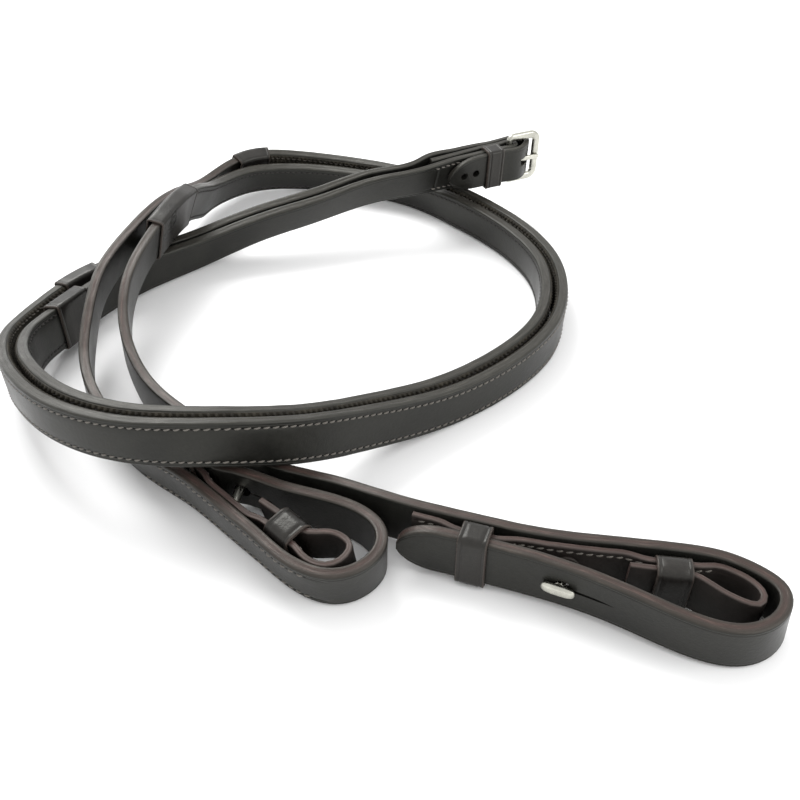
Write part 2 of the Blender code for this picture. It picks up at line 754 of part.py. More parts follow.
def cut_buckle_holes(left, right):
    """The turn's slot for the tongue, and the tongue's hole with two spare ones in the point end."""
    slot = prism([(-4.5, -2.2), (8.5, -2.2), (8.5, 2.2), (-4.5, 2.2)], -5.0, 5.0)
    cut(right, cutter("turn_slot", slot, buckle_matrix()))
    hole = prism([(4.0, -2.1), (12.6, -2.1), (12.6, 2.1), (4.0, 2.1)], -8.5, 0.6)
    cut(left, cutter("tongue_hole", hole, buckle_matrix()))
    for index, x in enumerate((-23.5, -30.5)):
        spare = prism(circle_points(PUNCH_R, 10), -8.0, -3.5)
        cut(left, cutter("spare_hole_%d" % (index + 1), spare, buckle_matrix(x)))


def build():
    for leftover in list(bpy.data.objects):
        bpy.data.objects.remove(leftover)
    straps = {}
    for side in ("left", "right"):
        path = rein_path(side)
        loop_at = loop_middle(side, path)
        stops = stop_places(side, path)
        marks = [loop_at]
        for middle, length in stops:
            marks += [middle - length / 2, middle, middle + length / 2]
        path.share_sections(marks)
        straps[side] = make_strap(side, path, loop_at)
        make_grip(side, path, stops[0][0], stops[1][0])
        make_stop(side, "upper", path, *stops[0])
        make_stop(side, "lower", path, *stops[1])
        make_bit_end(side, path, loop_at)
    cut_buckle_holes(straps["left"], straps["right"])
    make_buckle()
    for made in bpy.data.objects:
        made.matrix_world = Matrix.Translation(Vector(FRAME_SHIFT) * MM) @ made.matrix_world


build()
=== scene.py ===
"""Looks of the leather reins: stitched and creased straps, pimpled rubber, sleeves, studs and buckle.

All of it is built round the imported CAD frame. The route's points are those of the CAD, in millimetres,
and are put in metres when a mesh is made.
"""
import math

import bmesh
import bpy
import numpy as np
from mathutils import Matrix, Vector


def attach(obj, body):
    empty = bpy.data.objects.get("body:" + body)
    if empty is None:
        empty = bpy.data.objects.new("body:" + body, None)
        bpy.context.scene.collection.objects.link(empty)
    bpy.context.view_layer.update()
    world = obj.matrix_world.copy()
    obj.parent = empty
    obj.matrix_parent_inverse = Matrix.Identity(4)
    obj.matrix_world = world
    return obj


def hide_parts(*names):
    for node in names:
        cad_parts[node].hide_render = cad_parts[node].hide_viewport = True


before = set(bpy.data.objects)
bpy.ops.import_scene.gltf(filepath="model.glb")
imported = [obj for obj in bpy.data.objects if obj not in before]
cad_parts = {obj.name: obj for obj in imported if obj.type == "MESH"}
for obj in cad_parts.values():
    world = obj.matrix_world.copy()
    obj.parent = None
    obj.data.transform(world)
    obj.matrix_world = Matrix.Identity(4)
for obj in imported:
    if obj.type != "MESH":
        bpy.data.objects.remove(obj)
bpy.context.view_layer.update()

MM = 0.001
GAP = 0.3  # left between neighbouring pieces
FRAME_SHIFT = (4.62, -7.52, 0.13)  # from the routes' origin to the middle of the bounding box's floor face

# Straps
STRAP_WIDTH = 19.0
STRAP_THICK = 4.4
SKIVED_THICK = 2.8  # thinned leather of the buckle end
SKIVED_LENGTH = 125.0  # measured from each strap's buckle end
SKIVE_RAMP = 55.0

# Rubber grip and the leather stops over its ends
GRIP_WIDTH = 18.0
GRIP_THICK = 1.1
STOP_LENGTH = 22.0
LONG_STOP_LENGTH = 38.0  # the right half's lower stop
STOP_WALL = 0.9
STOP_GAP = 0.45

# Bit end
INNER_WIDTH = 16.0
INNER_THICK = 2.4
KEEPER_WALL = 1.2
BILLET_KEEPER_LENGTH = 10.5
LOOP_KEEPER_LENGTH = 12.0
BILLET_KEEPER_REACH = 12.9
BILLET_POINT = 15.0  # length over which a billet narrows to its rounded tip
SLIT_LENGTH = 19.5
SLIT_WIDTH = 1.2
SLIT_TAPER = 6.0  # length of the slit's pointed end
KEYHOLE_R = 3.2
KEYHOLE_DEPTH = (-4.5, 4.5)
KEYHOLE_SHIFT = 1.1  # of the keyhole from the stud towards the bit loop
STUD_SHANK_R = 1.8
STUD_HEAD = (5.9, 2.8, 2.4)  # half length, half height, depth of the oval head
STUD_PLATE = (4.2, 0.8)  # radius, thickness

# Buckle
BAR_POSITION = (76.0, 146.5, 31.8)
BUCKLE_DIRECTION = (50.0, 23.5, 0.0)
BUCKLE_TWIST = ((-57, -22), (-48, -20), (-36, -14), (-20, -6), (0, -3))  # distance from the bar, lean
BAR_R = 1.5
FRAME_WIRE = (2.1, 1.5)  # half width in the frame's plane, half thickness
FRAME_INNER_HEIGHT = 20.2
FRAME_REACH = 16.6  # bar axis to end bar axis
FRAME_CORNER_R = 3.6
SEWN_KEEPER_LENGTH = 9.6
SEWN_KEEPER_CENTRE = -12.5
TONGUE = (2.6, 1.8)  # width, thickness
PUNCH_R = 2.0
LAYER = 2.45  # middle of the buckle strap's two layers from the bar's plane
OUTER_LAYER = 5.7  # the same for the point strap that wraps them

# The two halves together, from the buckle on: x, y, lift of the lower edges above the floor, lean in degrees
# (positive tips the upper edge to the outer side), half the distance between the two straps' middles.
PAIR_ROUTE = [
    (25, 122.2, 21.5, -23, 2.9), (2, 117.0, 19.0, -26, 2.6), (-24, 108, 14, -28, 2.6),
    (-56, 97, 8, -26, 2.6), (-87, 83, 0.8, -18, 2.7), (-110, 64, 0.8, -9, 3.6),
    (-129, 41, 2, 1, 5.6), (-141, 12, 2.6, 8, 6.4), (-145, -12, 6, 9, 5.2),
    (-142, -28, 10, 4, 4.4), (-130, -52, 17, 3, 4.1), (-109, -76, 22.3, 2, 4.0),
    (-80, -89.5, 23.8, -3, 4.0), (-50, -92, 24.1, -6, 4.0), (-22, -82, 16.8, -6, 4.0),
    (4, -63, 7.5, -2, 4.0), (35, -41, 0.5, 4, 4.0), (63, -18, 0, 4, 4.0),
    (82, 9, 0, 3, 4.0), (89, 37, 0, 3, 4.1), (88, 67, 0, -1, 4.1),
    (74, 100, 0, -6, 4.0), (51, 130, 0, -7, 4.0), (26, 152, 0, -19, 4.0),
    (-4, 166, 0.3, -26, 4.1), (-37, 173, 1, -28, 4.6), (-68, 166, 3, -28, 5.2),
]
# Each half alone after that: x, y, lift, lean. The path goes round the bit loop and back along the billet.
LEFT_TAIL = [
    (-92.7, 134, 8, -26), (-99, 100, 18, -21), (-105, 70, 23.8, -18),
    (-112, 43, 23, -15), (-117.5, 19, 19, -11), (-118, -3, 12, -7),
    (-115.5, -24, 5, -2), (-107, -44, 1.5, 4), (-95, -62, 1.2, 8),
    (-80.5, -78.5, 1.2, 11), (-62.7, -92.8, 1.2, 11), (-46, -109, 1.2, 11),
    (-30, -125, 0.7, 12), (-17.5, -136.2, 0, 14), (-4, -140.7, 0, 14),
    (7.3, -134, 0, 9), (10.3, -122.5, 0, 0), (3.8, -112.2, 0, -7),
    (-9, -106, 1, -10), (-26, -100.5, 2, -11), (-43, -93.4, 2.6, -11),
]
RIGHT_TAIL = [
    (-77.6, 148, 5.2, -28), (-84.4, 131, 8.2, -26), (-86, 112, 14.5, -22),
    (-87.8, 98, 20.6, -20), (-90.2, 85, 24.4, -18), (-95, 67, 24.8, -16),
    (-101, 38, 23, -13), (-104, 14, 18, -7), (-102, -6, 11, -2),
    (-95, -24, 5, 2), (-84, -41, 1, 1), (-69, -57, 0, -2),
    (-52, -73, 0, -1), (-32, -88, 0, 0), (-8, -97.5, 0.5, 0),
    (16, -109.5, 2, 0), (40, -118, 2, 0), (64, -125.5, 2, 0),
    (87, -129.5, 2, 0), (108, -131.5, 1, 1), (124, -134.5, 0.6, 4),
    (136, -141, 0, 7), (141.5, -150, 0, 6), (137.5, -159, 0, 0),
    (124, -165, 0, -5), (108, -161, 1, -6), (91, -151.5, 2, -5),
    (76, -143, 2, -3),
]

# A level point near the middle of each bit loop
LOOP_MIDDLE = {"left": (10, -122), "right": (141.5, -150)}
# The rest of each billet: distance back from the middle of the bit loop, distance from the body
BILLET_RUN = {
    "left": [(92, 10.6), (101, 10.2), (112, 10.1), (131, 10.4)],
    "right": [(91, 10.6), (101, 10.2), (112, 10.1), (131, 11.4)],
}

# Middle of the upper stop, middle of the lower stop, length of the lower stop
STOPS = {
    "left": ((-135, 42), (-69, 169), STOP_LENGTH),
    "right": ((-135, 18), (-94, 70), LONG_STOP_LENGTH),
}

# Distances back along each strap's body from the middle of its bit loop
BILLET_KEEPER_AT = 104.5
STUD_AT = {"left": 85.0, "right": 75.0}
LOOP_KEEPER_AT = {"left": 53.0, "right": 40.0}
INNER_START_AT = 128.0
INNER_LEAVES_AT = {"left": 31.0, "right": 20.0}
# The free part of the small inner loop: x, y
INNER_FREE = {
    "left": [(-0.9, -133), (0.5, -128.6), (-2.3, -124.9), (-7.0, -123.6)],
    "right": [(132.6, -145.5), (134, -150.5), (131.5, -154.3), (126, -152.8), (120.5, -148.6)],
}
# The run that comes back: distances from the small keeper's middle towards the loop and from the body
INNER_RETURN = {
    "left": [(7, 12.2), (0, 11.7), (-6, 11.5), (-16, 11.0)],
    "right": [(9, 10.8), (5, 9.7), (0, 9.3), (-6, 9.1), (-15, 9.0)],
}
LOOP_KEEPER_REACH = {"left": 14.2, "right": 12.0}
KEEPER_EASE = 0.5  # room behind a straight keeper on the curving body

# Seams
STITCH_INSET = 2.5  # of the stitch rows from a strap's edges
STITCH_ROW = STRAP_WIDTH / 2 - STITCH_INSET
INNER_STITCH_INSET = 2.0
STITCH_PITCH = 3.25
STITCH_SLANT = 14.0  # degrees
STITCH_SINK = 0.1  # depth of the stitches in a face
HOLE_SINK = 0.14  # the same for the needle holes
INNER_SINK = 0.08  # and for the stitches of the inner strap
GROOVE_DEPTH = 0.26
INNER_GROOVE_DEPTH = 0.18
TURN_LENGTH = 52.0  # of the right half's turn, from its end to the middle of the fold
SEAM_START = 2.0  # of every seam from its strap's end
SEAM_END = 26.0  # of the seam that closes the turn
LOOP_SEAM_SHORT = 4.0  # left unsewn where the inner strap leaves the body
SEAM_PAST = 4.0  # how far it runs past the end on the other layer

# Holes at the buckle: start and end from the bar, half height, then where the cut starts and ends in depth
TONGUE_SLOT = (-4.5, 8.5, 2.2, -5.0, 5.0)
TONGUE_HOLE = (4.0, 12.6, 2.1, -8.5, 0.6)
PUNCH_AT = (-23.5, -30.5)  # from the bar
PUNCH_DEPTH = (-8.0, -3.5)

# Rubber, sleeves and studs
WEB_STEP = 2.5  # between the web's cross-sections
RUBBER_WEB = 0.5  # thickness under the pimples
PIMPLE_PITCH = 2.4
PIMPLE_ROWS = (-8.0, -4.6, -2.3, 0.0, 2.3, 4.6, 8.0)
SLEEVE_CORNER = 1.9  # of the stops and the keeper at the buckle
BILLET_KEEPER_CORNER = 2.8
LOOP_KEEPER_CORNER = 4.2
STUD_SLIMMING = 0.76  # height of a stud's head against the solid's
STUD_BLUNTNESS = 0.62  # power that squares the ends of a stud's head; 1 is an ellipse

# Surface and stage
RED_FROM = 60.0  # distance beyond the lower stop at which the cut edges are fully red
RED_EASE = 80.0  # length of strap over which they turn
FAINT_RED = 0.12  # share of that red on the rest of the edges
FOLD_DENT = 0.3  # depth of the crease where the turn ends
GRIP_CROWN = 0.16  # rise of the face's middle along the grip
STATION_STEP = 2.2  # between a strap's fine cross-sections
SMOOTH_UP_TO = math.radians(50)
CAMERA_PLACE = (0.02162, -0.37332, 0.26483)
CAMERA_ELEVATION = 38.0
FLOOR_HALF = 6.0  # metres
FLOOR_DROP = 0.0004  # metres, to keep the floor off the lowest edges
WORLD_STRENGTH = 1.25
KEY = {"location": (-0.35, 0.55, 0.75), "target": (0, 0, 0), "size": 0.55, "energy": 9.0}
FILL = {"location": (0.75, -0.35, 0.5), "target": (0.08, -0.1, 0), "size": 0.5, "energy": 3.0}


# --- paths

def direction(degrees):
    """Cosine and sine of an angle."""
    angle = math.radians(degrees)
    return math.cos(angle), math.sin(angle)


def unit(vector):
    return vector / np.linalg.norm(vector)


def outer_normal(tangent):
    """The level direction to the right of a direction of travel."""
    return unit(np.array([tangent[1], -tangent[0], 0.0]))


def natural_spline(knots, values):
    """Natural cubic spline through rows of values; returns a function that gives value and slope."""
    n = len(knots)
    h = np.diff(knots)
    slope = np.diff(values, axis=0) / h[:, None]
    matrix = np.eye(n)
    right = np.zeros_like(values)
    for i in range(1, n - 1):
        matrix[i, i - 1:i + 2] = (h[i - 1], 2 * (h[i - 1] + h[i]), h[i])
        right[i] = 6 * (slope[i] - slope[i - 1])
    bend = np.linalg.solve(matrix, right)

    def at(s):
        i = int(np.clip(np.searchsorted(knots, s) - 1, 0, n - 2))
        a = knots[i + 1] - s
        b = s - knots[i]
        linear_a = values[i] / h[i] - bend[i] * h[i] / 6
        linear_b = values[i + 1] / h[i] - bend[i + 1] * h[i] / 6
        value = (bend[i] * a ** 3 + bend[i + 1] * b ** 3) / (6 * h[i]) + linear_a * a + linear_b * b
        rate = (bend[i + 1] * b ** 2 - bend[i] * a ** 2) / (2 * h[i]) - linear_a + linear_b
        return value, rate

    return at


class Path:
    """A smooth path through points, each with the direction of the strap's upper edge."""

    def __init__(self, points, ups):
        points = np.array(points, float)
        values = np.hstack([points, np.array(ups, float)])
        self.knots = np.concatenate([[0.0], np.cumsum(np.linalg.norm(np.diff(points, axis=0), axis=1))])
        self.length = self.knots[-1]
        self.spline = natural_spline(self.knots, values)

    def frame(self, s):
        """Point, direction of travel, outer side and up at a distance along the path."""
        value, rate = self.spline(s)
        tangent = unit(rate[:3])
        up = unit(value[3:] - tangent * np.dot(value[3:], tangent))
        return value[:3], tangent, np.cross(tangent, up), up

    def point(self, s, outward, upward=0.0):
        centre, _, out, up = self.frame(s)
        return centre + out * outward + up * upward


def plan_tangents(points):
    """Level direction of travel at each point of a route."""
    flat = np.array([(p[0], p[1], 0.0) for p in points], float)
    return [unit(flat[min(i + 1, len(flat) - 1)] - flat[max(i - 1, 0)]) for i in range(len(flat))]


def leaning_up(tangent, lean):
    upright, sideways = direction(lean)
    return upright * np.array([0.0, 0.0, 1.0]) + sideways * outer_normal(tangent)


def standing_height(lift, lean, half_thick):
    """Height of the middle of a strap whose lowest edge is lifted off the floor."""
    upright, sideways = direction(lean)
    return max(lift, 0.0) + STRAP_WIDTH / 2 * upright + half_thick * abs(sideways)


def buckle_axes(x):
    """Axes of the buckle end at a distance from the bar: towards the end bar, far side, up the bar."""
    reach, leans = zip(*BUCKLE_TWIST)
    along = unit(np.array(BUCKLE_DIRECTION))
    up = leaning_up(-along, float(np.interp(x, reach, leans)))
    return along, np.cross(up, along), up


def buckle_point(x, y):
    along, out, _ = buckle_axes(x)
    return np.array(BAR_POSITION) + along * x + out * y


def buckle_matrix(x=0.0):
    along, out, up = buckle_axes(x)
    return frame_matrix(buckle_point(x, 0.0), along, out, up)


def arc_points(radius, angles):
    """Points round a circle at angles in degrees."""
    return [(radius * c, radius * s) for c, s in map(direction, angles)]


def left_buckle_points():
    """The left strap's point end: from its tip, through the frame, round the fold and away."""
    layer = OUTER_LAYER
    near = [(-39, -layer), (-29, -layer), (-20, -layer), (-13, -layer), (-8, -layer), (-4, -6.1), (0.5, -6.5)]
    fold = [(4.5, -5.6), (8.0, -3.1), (10.7, -0.3), (12.0, 2.6), (10.9, 5.4), (7.6, 6.9)]
    far = [(0.5, 6.7), (-4, 6.1), (-8, layer), (-13, layer)]
    return near + fold + far + [(-20, layer + 0.1), (-35, layer + 0.1), (-48, layer - 0.1)]


def right_buckle_points():
    """The right strap's turn: from its sewn-down end to the bar, round it and away from the buckle."""
    radius = BAR_R + 0.35 + SKIVED_THICK / 2
    end = LAYER - 0.65
    out = [(-48, end), (-36, end), (-26, LAYER - 0.3), (-18, LAYER - 0.05)]
    out += [(-12, LAYER), (-8, LAYER), (-4, 2.7)]
    fold = arc_points(radius, range(90, -91, -30))
    back = [(x, -y) for x, y in reversed(out[1:])]
    return out + fold + back


def rein_path(side):
    """The whole centre line of one half's leather strap."""
    sign = 1 if side == "left" else -1
    tail = LEFT_TAIL if side == "left" else RIGHT_TAIL
    buckle = left_buckle_points() if side == "left" else right_buckle_points()
    points = [buckle_point(x, y) for x, y in buckle]
    ups = [buckle_axes(x)[2] for x, _ in buckle]
    tangents = plan_tangents(PAIR_ROUTE + [tail[0]])
    for (x, y, lift, lean, half), tangent in zip(PAIR_ROUTE, tangents):
        tip = leaning_up(tangent, lean)
        out = np.cross(tangent, tip)
        z = standing_height(lift, lean, half + STRAP_THICK / 2)
        points.append(np.array([x, y, z]) + out * half * sign)
        ups.append(tip)
    tangents = plan_tangents([PAIR_ROUTE[-1]] + tail)[1:]
    for (x, y, lift, lean), tangent in zip(tail, tangents):
        points.append(np.array([x, y, standing_height(lift, lean, STRAP_THICK / 2)]))
        ups.append(leaning_up(tangent, lean))
    body = Path(points, ups)
    loop_at = loop_middle(side, body)
    for distance, away in BILLET_RUN[side]:
        points.append(body.point(loop_at - distance, lining_side(side) * away))
        ups.append(body.frame(loop_at - distance)[3])
    return Path(points, ups)


def lining_side(side):
    """The lining faces the other half: inwards on the left half, outwards on the right."""
    return -1 if side == "left" else 1


def loop_middle(side, path):
    """Distance along the strap of the middle of its bit loop."""
    return nearest(path, LOOP_MIDDLE[side], path.length * 0.6)


def nearest(path, target, start, end=None):
    """Distance along a path of the place nearest to a level point."""
    samples = np.arange(start, end or path.length, 0.5)
    gaps = [np.hypot(*(path.frame(s)[0][:2] - np.array(target))) for s in samples]
    return float(samples[int(np.argmin(gaps))])


def pointed_width(distance, full, point):
    """Width near a tip: a rounded point that reaches full width after the given length."""
    if distance >= point:
        return full
    return full * math.sqrt(max(0.03, 1.0 - (1.0 - distance / point) ** 2))


def strap_thickness(s):
    """The strap is skived thin at the buckle end."""
    ramp = min(1.0, max(0.0, (s - SKIVED_LENGTH) / SKIVE_RAMP))
    return SKIVED_THICK + (STRAP_THICK - SKIVED_THICK) * ramp


def frame_matrix(origin, *axes):
    columns = np.column_stack([*axes, np.array(origin) * MM])
    return Matrix(np.vstack([columns, (0, 0, 0, 1)]).tolist())


def strap_frame(path, s, side):
    """Matrix whose x runs back along the strap, y to the chosen side and z across its width."""
    centre, tangent, out, up = path.frame(s)
    return frame_matrix(centre, -tangent, out * side, up * side)


def rounded_rectangle(low, high, half_height, radius, steps):
    """Points (y, z) round a rectangle with rounded corners."""
    corners = [(high - radius, half_height - radius, 0), (low + radius, half_height - radius, 90),
               (low + radius, -half_height + radius, 180), (high - radius, -half_height + radius, 270)]
    points = []
    for y, z, first in corners:
        for step in range(steps + 1):
            c, s = direction(first + 90 * step / steps)
            points.append((y + radius * c, z + radius * s))
    return points


def stop_places(side, path):
    """Distance along the strap and length of the upper and lower stop."""
    upper_at, lower_at, lower_length = STOPS[side]
    upper = nearest(path, upper_at, 150.0)
    lower = nearest(path, lower_at, upper + 200.0)
    return (upper, STOP_LENGTH), (lower, lower_length)


def inner_offset(side, loop_at):
    """Distance of the inner strap's middle from the body's, pushed out over a keeper's back wall."""
    close = STRAP_THICK / 2 + GAP + INNER_THICK / 2
    push_out = KEEPER_EASE + KEEPER_WALL + GAP
    centres = (loop_at - BILLET_KEEPER_AT, loop_at - LOOP_KEEPER_AT[side])
    halves = (BILLET_KEEPER_LENGTH / 2, LOOP_KEEPER_LENGTH / 2)

    def offset(s):
        near = 0.0
        for centre, half in zip(centres, halves):
            beyond = abs(s - centre) - half - 1.5
            near = max(near, 1.0 - max(0.0, beyond) / 9.0)
        return close + push_out * (3 * near ** 2 - 2 * near ** 3)

    return offset


def inner_loop_path(side, path, loop_at):
    """Centre line of the thin inner strap: along the body, round the small loop and back."""
    sign = lining_side(side)
    offset = inner_offset(side, loop_at)
    points, ups = [], []
    start = loop_at - INNER_START_AT
    leave = loop_at - INNER_LEAVES_AT[side]
    for s in np.linspace(start, leave, 22):
        centre, _, out, up = path.frame(s)
        points.append(centre + out * (offset(s) + 0.15) * sign)
        ups.append(up)
    keeper_at = loop_at - LOOP_KEEPER_AT[side]
    back, back_up = [], path.frame(keeper_at)[3]
    for step, away in INNER_RETURN[side]:
        back.append(path.point(keeper_at + step, away * sign))
    last, last_up = points[-1], ups[-1]
    free = INNER_FREE[side]
    for i, (x, y) in enumerate(free):
        blend = (i + 1) / (len(free) + 1)
        points.append(np.array([x, y, (1 - blend) * last[2] + blend * back[0][2]]))
        ups.append((1 - blend) * last_up + blend * back_up)
    return Path(points + back, ups + [back_up] * len(back))


def billet_frame(side, path, s):
    """Matrix on the billet with x pointing back to the bit loop and y away from the body."""
    return strap_frame(path, s, -lining_side(side))


def stud_station(side, path, loop_at):
    """Distance along the strap of the billet's keyhole, over the stud."""
    target = path.point(loop_at - STUD_AT[side], lining_side(side) * 11.0)
    return nearest(path, target[:2], loop_at + 20.0)


# --- materials

def new_material(name):
    made = bpy.data.materials.new(name)
    made.use_nodes = True
    return made, made.node_tree, made.node_tree.nodes["Principled BSDF"]


def feed(node, inputs):
    """Sets a node's inputs by name, or links those whose value is another node's output."""
    for name, value in inputs.items():
        if isinstance(value, bpy.types.NodeSocket):
            node.id_data.links.new(value, node.inputs[name])
        else:
            node.inputs[name].default_value = value


def object_vector(tree):
    return tree.nodes.new("ShaderNodeTexCoord").outputs["Object"]


def noise(tree, scale, detail=3.0, roughness=0.55, vector=None):
    node = tree.nodes.new("ShaderNodeTexNoise")
    vector = vector or object_vector(tree)
    feed(node, {"Vector": vector, "Scale": scale, "Detail": detail, "Roughness": roughness})
    return node.outputs["Fac"]


def ramp(tree, factor, stops):
    """Colour ramp through (position, colour) stops; a single number makes a grey."""
    node = tree.nodes.new("ShaderNodeValToRGB")
    elements = node.color_ramp.elements
    while len(elements) < len(stops):
        elements.new(0.5)
    for element, (position, value) in zip(elements, stops):
        element.position = position
        colour = (value,) * 3 if isinstance(value, (int, float)) else value
        element.color = (*colour, 1.0)
    feed(node, {"Fac": factor})
    return node.outputs["Color"]


def mix(tree, factor, a, b, blend="MIX"):
    node = tree.nodes.new("ShaderNodeMix")
    node.data_type = "RGBA"
    node.blend_type = blend
    feed(node, {"Factor": factor, "A": a, "B": b})
    return node.outputs["Result"]


def add_bump(tree, shader, height, distance, strength, before=None):
    node = tree.nodes.new("ShaderNodeBump")
    feed(node, {"Distance": distance, "Strength": strength, "Height": height})
    if before is not None:
        feed(node, {"Normal": before})
    feed(shader, {"Normal": node.outputs["Normal"]})
    return node.outputs["Normal"]


def attribute(tree, name):
    node = tree.nodes.new("ShaderNodeAttribute")
    node.attribute_name = name
    return node.outputs["Fac"]


def along_edge_vector(tree):
    """Strap coordinates squeezed so that a noise makes streaks along the edge."""
    node = tree.nodes.new("ShaderNodeMapping")
    place = tree.nodes.new("ShaderNodeTexCoord").outputs["UV"]
    feed(node, {"Scale": (90.0, 1100.0, 1.0), "Vector": place})
    return node.outputs["Vector"]


def leather(name, dark, light, rim, core, gloss):
    """Waxed leather. Its attributes "rim" and "core" mark the cut edge and the middle of that edge."""
    made, tree, shader = new_material(name)
    mottle = noise(tree, 45.0, 4.0)
    grain = noise(tree, 1500.0, 2.0)
    pores = noise(tree, 620.0, 4.0, 0.7)
    fibre = noise(tree, 1.0, 4.0, 0.7, along_edge_vector(tree))
    face = ramp(tree, mottle, [(0.32, dark), (0.7, light)])
    face = mix(tree, 0.35, face, ramp(tree, pores, [(0.35, 0.35), (0.6, 1.0)]), "MULTIPLY")
    edge = mix(tree, attribute(tree, "core"), (*rim, 1.0), (*core, 1.0))
    edge = mix(tree, 0.8, edge, ramp(tree, fibre, [(0.3, 0.45), (0.55, 0.85), (0.75, 2.4)]), "MULTIPLY")
    rough = mix(tree, attribute(tree, "rim"), ramp(tree, mottle, [(0.3, gloss - 0.05), (0.7, gloss + 0.1)]),
                ramp(tree, fibre, [(0.3, 0.5), (0.7, 0.3)]))
    feed(shader, {"Base Color": mix(tree, attribute(tree, "rim"), face, edge), "Roughness": rough,
                  "Specular IOR Level": 0.3, "Specular Tint": (1.0, 0.995, 0.93, 1.0)})
    first = add_bump(tree, shader, grain, 0.00012, 0.35)
    second = add_bump(tree, shader, pores, 0.0003, 0.3, first)
    uneven = mix(tree, attribute(tree, "rim"), (0.5, 0.5, 0.5, 1.0), fibre)
    add_bump(tree, shader, uneven, 0.0004, 0.5, second)
    return made


def rubber_material():
    made, tree, shader = new_material("pimpled_rubber")
    clean, dusty = (0.010, 0.0085, 0.0055), (0.032, 0.027, 0.018)
    dust = ramp(tree, noise(tree, 220.0, 4.0), [(0.35, clean), (0.72, dusty)])
    feed(shader, {"Base Color": dust, "Roughness": 0.72, "Specular IOR Level": 0.3})
    add_bump(tree, shader, noise(tree, 1800.0), 0.0001, 0.4)
    return made


def thread_material(name, dark, light):
    made, tree, shader = new_material(name)
    twist = tree.nodes.new("ShaderNodeTexWave")
    twist.bands_direction = "DIAGONAL"
    feed(twist, {"Scale": 900.0, "Vector": object_vector(tree)})
    strands = twist.outputs["Fac"]
    feed(shader, {"Base Color": ramp(tree, strands, [(0.2, dark), (0.8, light)]), "Roughness": 0.7})
    add_bump(tree, shader, strands, 0.0001, 0.5)
    return made


def painted_hole_shade_material():
    # Near-black discs sunk in the seam grooves stand for the needle holes; their colour is painted shade of
    # the holes' hollows, not soot.
    made, tree, shader = new_material("needle_hole")
    painted_hole_shade = ramp(tree, noise(tree, 2000.0), [(0.3, 0.002), (0.7, 0.006)])
    feed(shader, {"Base Color": painted_hole_shade, "Roughness": 0.9, "Specular IOR Level": 0.1})
    return made


def nickel_material(name, colour, roughness):
    made, tree, shader = new_material(name)
    brushed = noise(tree, 900.0, 5.0)
    worn = tuple(c * 0.72 for c in colour)
    feed(shader, {"Base Color": ramp(tree, noise(tree, 130.0), [(0.3, worn), (0.6, colour)]), "Metallic": 1.0,
                  "Roughness": ramp(tree, brushed, [(0.3, roughness - 0.08), (0.7, roughness + 0.12)])})
    add_bump(tree, shader, brushed, 0.00006, 0.3)
    return made


# --- meshes

def new_object(name, data):
    made = bpy.data.objects.new(name, data)
    bpy.context.scene.collection.objects.link(made)
    return made


def new_mesh(name, points, faces):
    """A mesh in metres from points of the route in millimetres."""
    mesh = bpy.data.meshes.new(name)
    mesh.from_pydata(((points.reshape(-1, 3) + FRAME_SHIFT) * MM).tolist(), [], faces)
    return mesh


def skin(name, rings, looks, attributes=(), closed=False, along=None):
    """A body through equal rings of points. Its UV is the distance along and round it, in metres."""
    rings = np.array(rings, float)
    count, size = rings.shape[:2]
    rows = count if closed else count - 1
    i, j = np.meshgrid(np.arange(rows), np.arange(size), indexing="ij")
    i2, j2 = (i + 1) % count, (j + 1) % size
    quads = np.stack([i * size + j, i * size + j2, i2 * size + j2, i2 * size + j], axis=-1).reshape(-1, 4)
    faces = quads.tolist()
    if not closed:
        faces += [list(range(size))[::-1], list(range((count - 1) * size, count * size))]
    mesh = new_mesh(name, rings, faces)
    steps = np.linalg.norm(np.roll(rings, -1, axis=1) - rings, axis=2)
    around = np.concatenate([np.zeros((count, 1)), np.cumsum(steps, axis=1)[:, :-1]], axis=1)
    if along is None:
        spans = np.linalg.norm(np.diff(rings.mean(axis=1), axis=0), axis=1)
        along = np.concatenate([[0.0], np.cumsum(spans)])
    points = np.stack([np.repeat(along, size), around.ravel()], axis=-1) * MM
    layer = mesh.uv_layers.new(name="strap")
    corners = np.zeros(len(mesh.loops), np.int32)
    mesh.loops.foreach_get("vertex_index", corners)
    layer.data.foreach_set("uv", points[corners].astype(np.float32).ravel())
    for label, values in attributes:
        data = mesh.attributes.new(label, "FLOAT", "POINT")
        data.data.foreach_set("value", np.broadcast_to(values, (count, size)).astype(np.float32).ravel())
    return finish_mesh(name, mesh, looks)


def finish_mesh(name, mesh, looks):
    shaped = bmesh.new()
    shaped.from_mesh(mesh)
    bmesh.ops.recalc_face_normals(shaped, faces=shaped.faces)
    shaped.to_mesh(mesh)
    shaped.free()
    mesh.materials.append(looks)
    mesh.shade_smooth()
    mesh.set_sharp_from_angle(angle=SMOOTH_UP_TO)
    return new_object(name, mesh)


def many(name, shape, faces, matrices, looks):
    """One mesh of many copies of a small shape, each placed by a 3 x 4 matrix in millimetres."""
    shape = np.array(shape, float)
    matrices = np.array(matrices, float)
    points = np.einsum("nij,vj->nvi", matrices[:, :, :3], shape) + matrices[:, None, :, 3]
    size = len(shape)
    listed = [[v + size * n for v in face] for n in range(len(matrices)) for face in faces]
    mesh = new_mesh(name, points, listed)
    mesh.uv_layers.new(name="strap")
    return finish_mesh(name, mesh, looks)


def turned(profile, sides):
    """A small closed shape turned about x from (x, radius) pairs."""
    points = []
    for x, radius in profile:
        for k in range(sides):
            angle = 2 * math.pi * k / sides
            points.append((x, radius * math.cos(angle), radius * math.sin(angle)))
    faces = [list(range(sides))[::-1], list(range((len(profile) - 1) * sides, len(profile) * sides))]
    for i in range(len(profile) - 1):
        for k in range(sides):
            k2 = (k + 1) % sides
            faces.append([i * sides + k, i * sides + k2, (i + 1) * sides + k2, (i + 1) * sides + k])
    return points, faces


def belongs(made, body, slot, *nodes):
    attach(made, body)
    if nodes:
        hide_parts(*nodes)
    return made


# --- straps

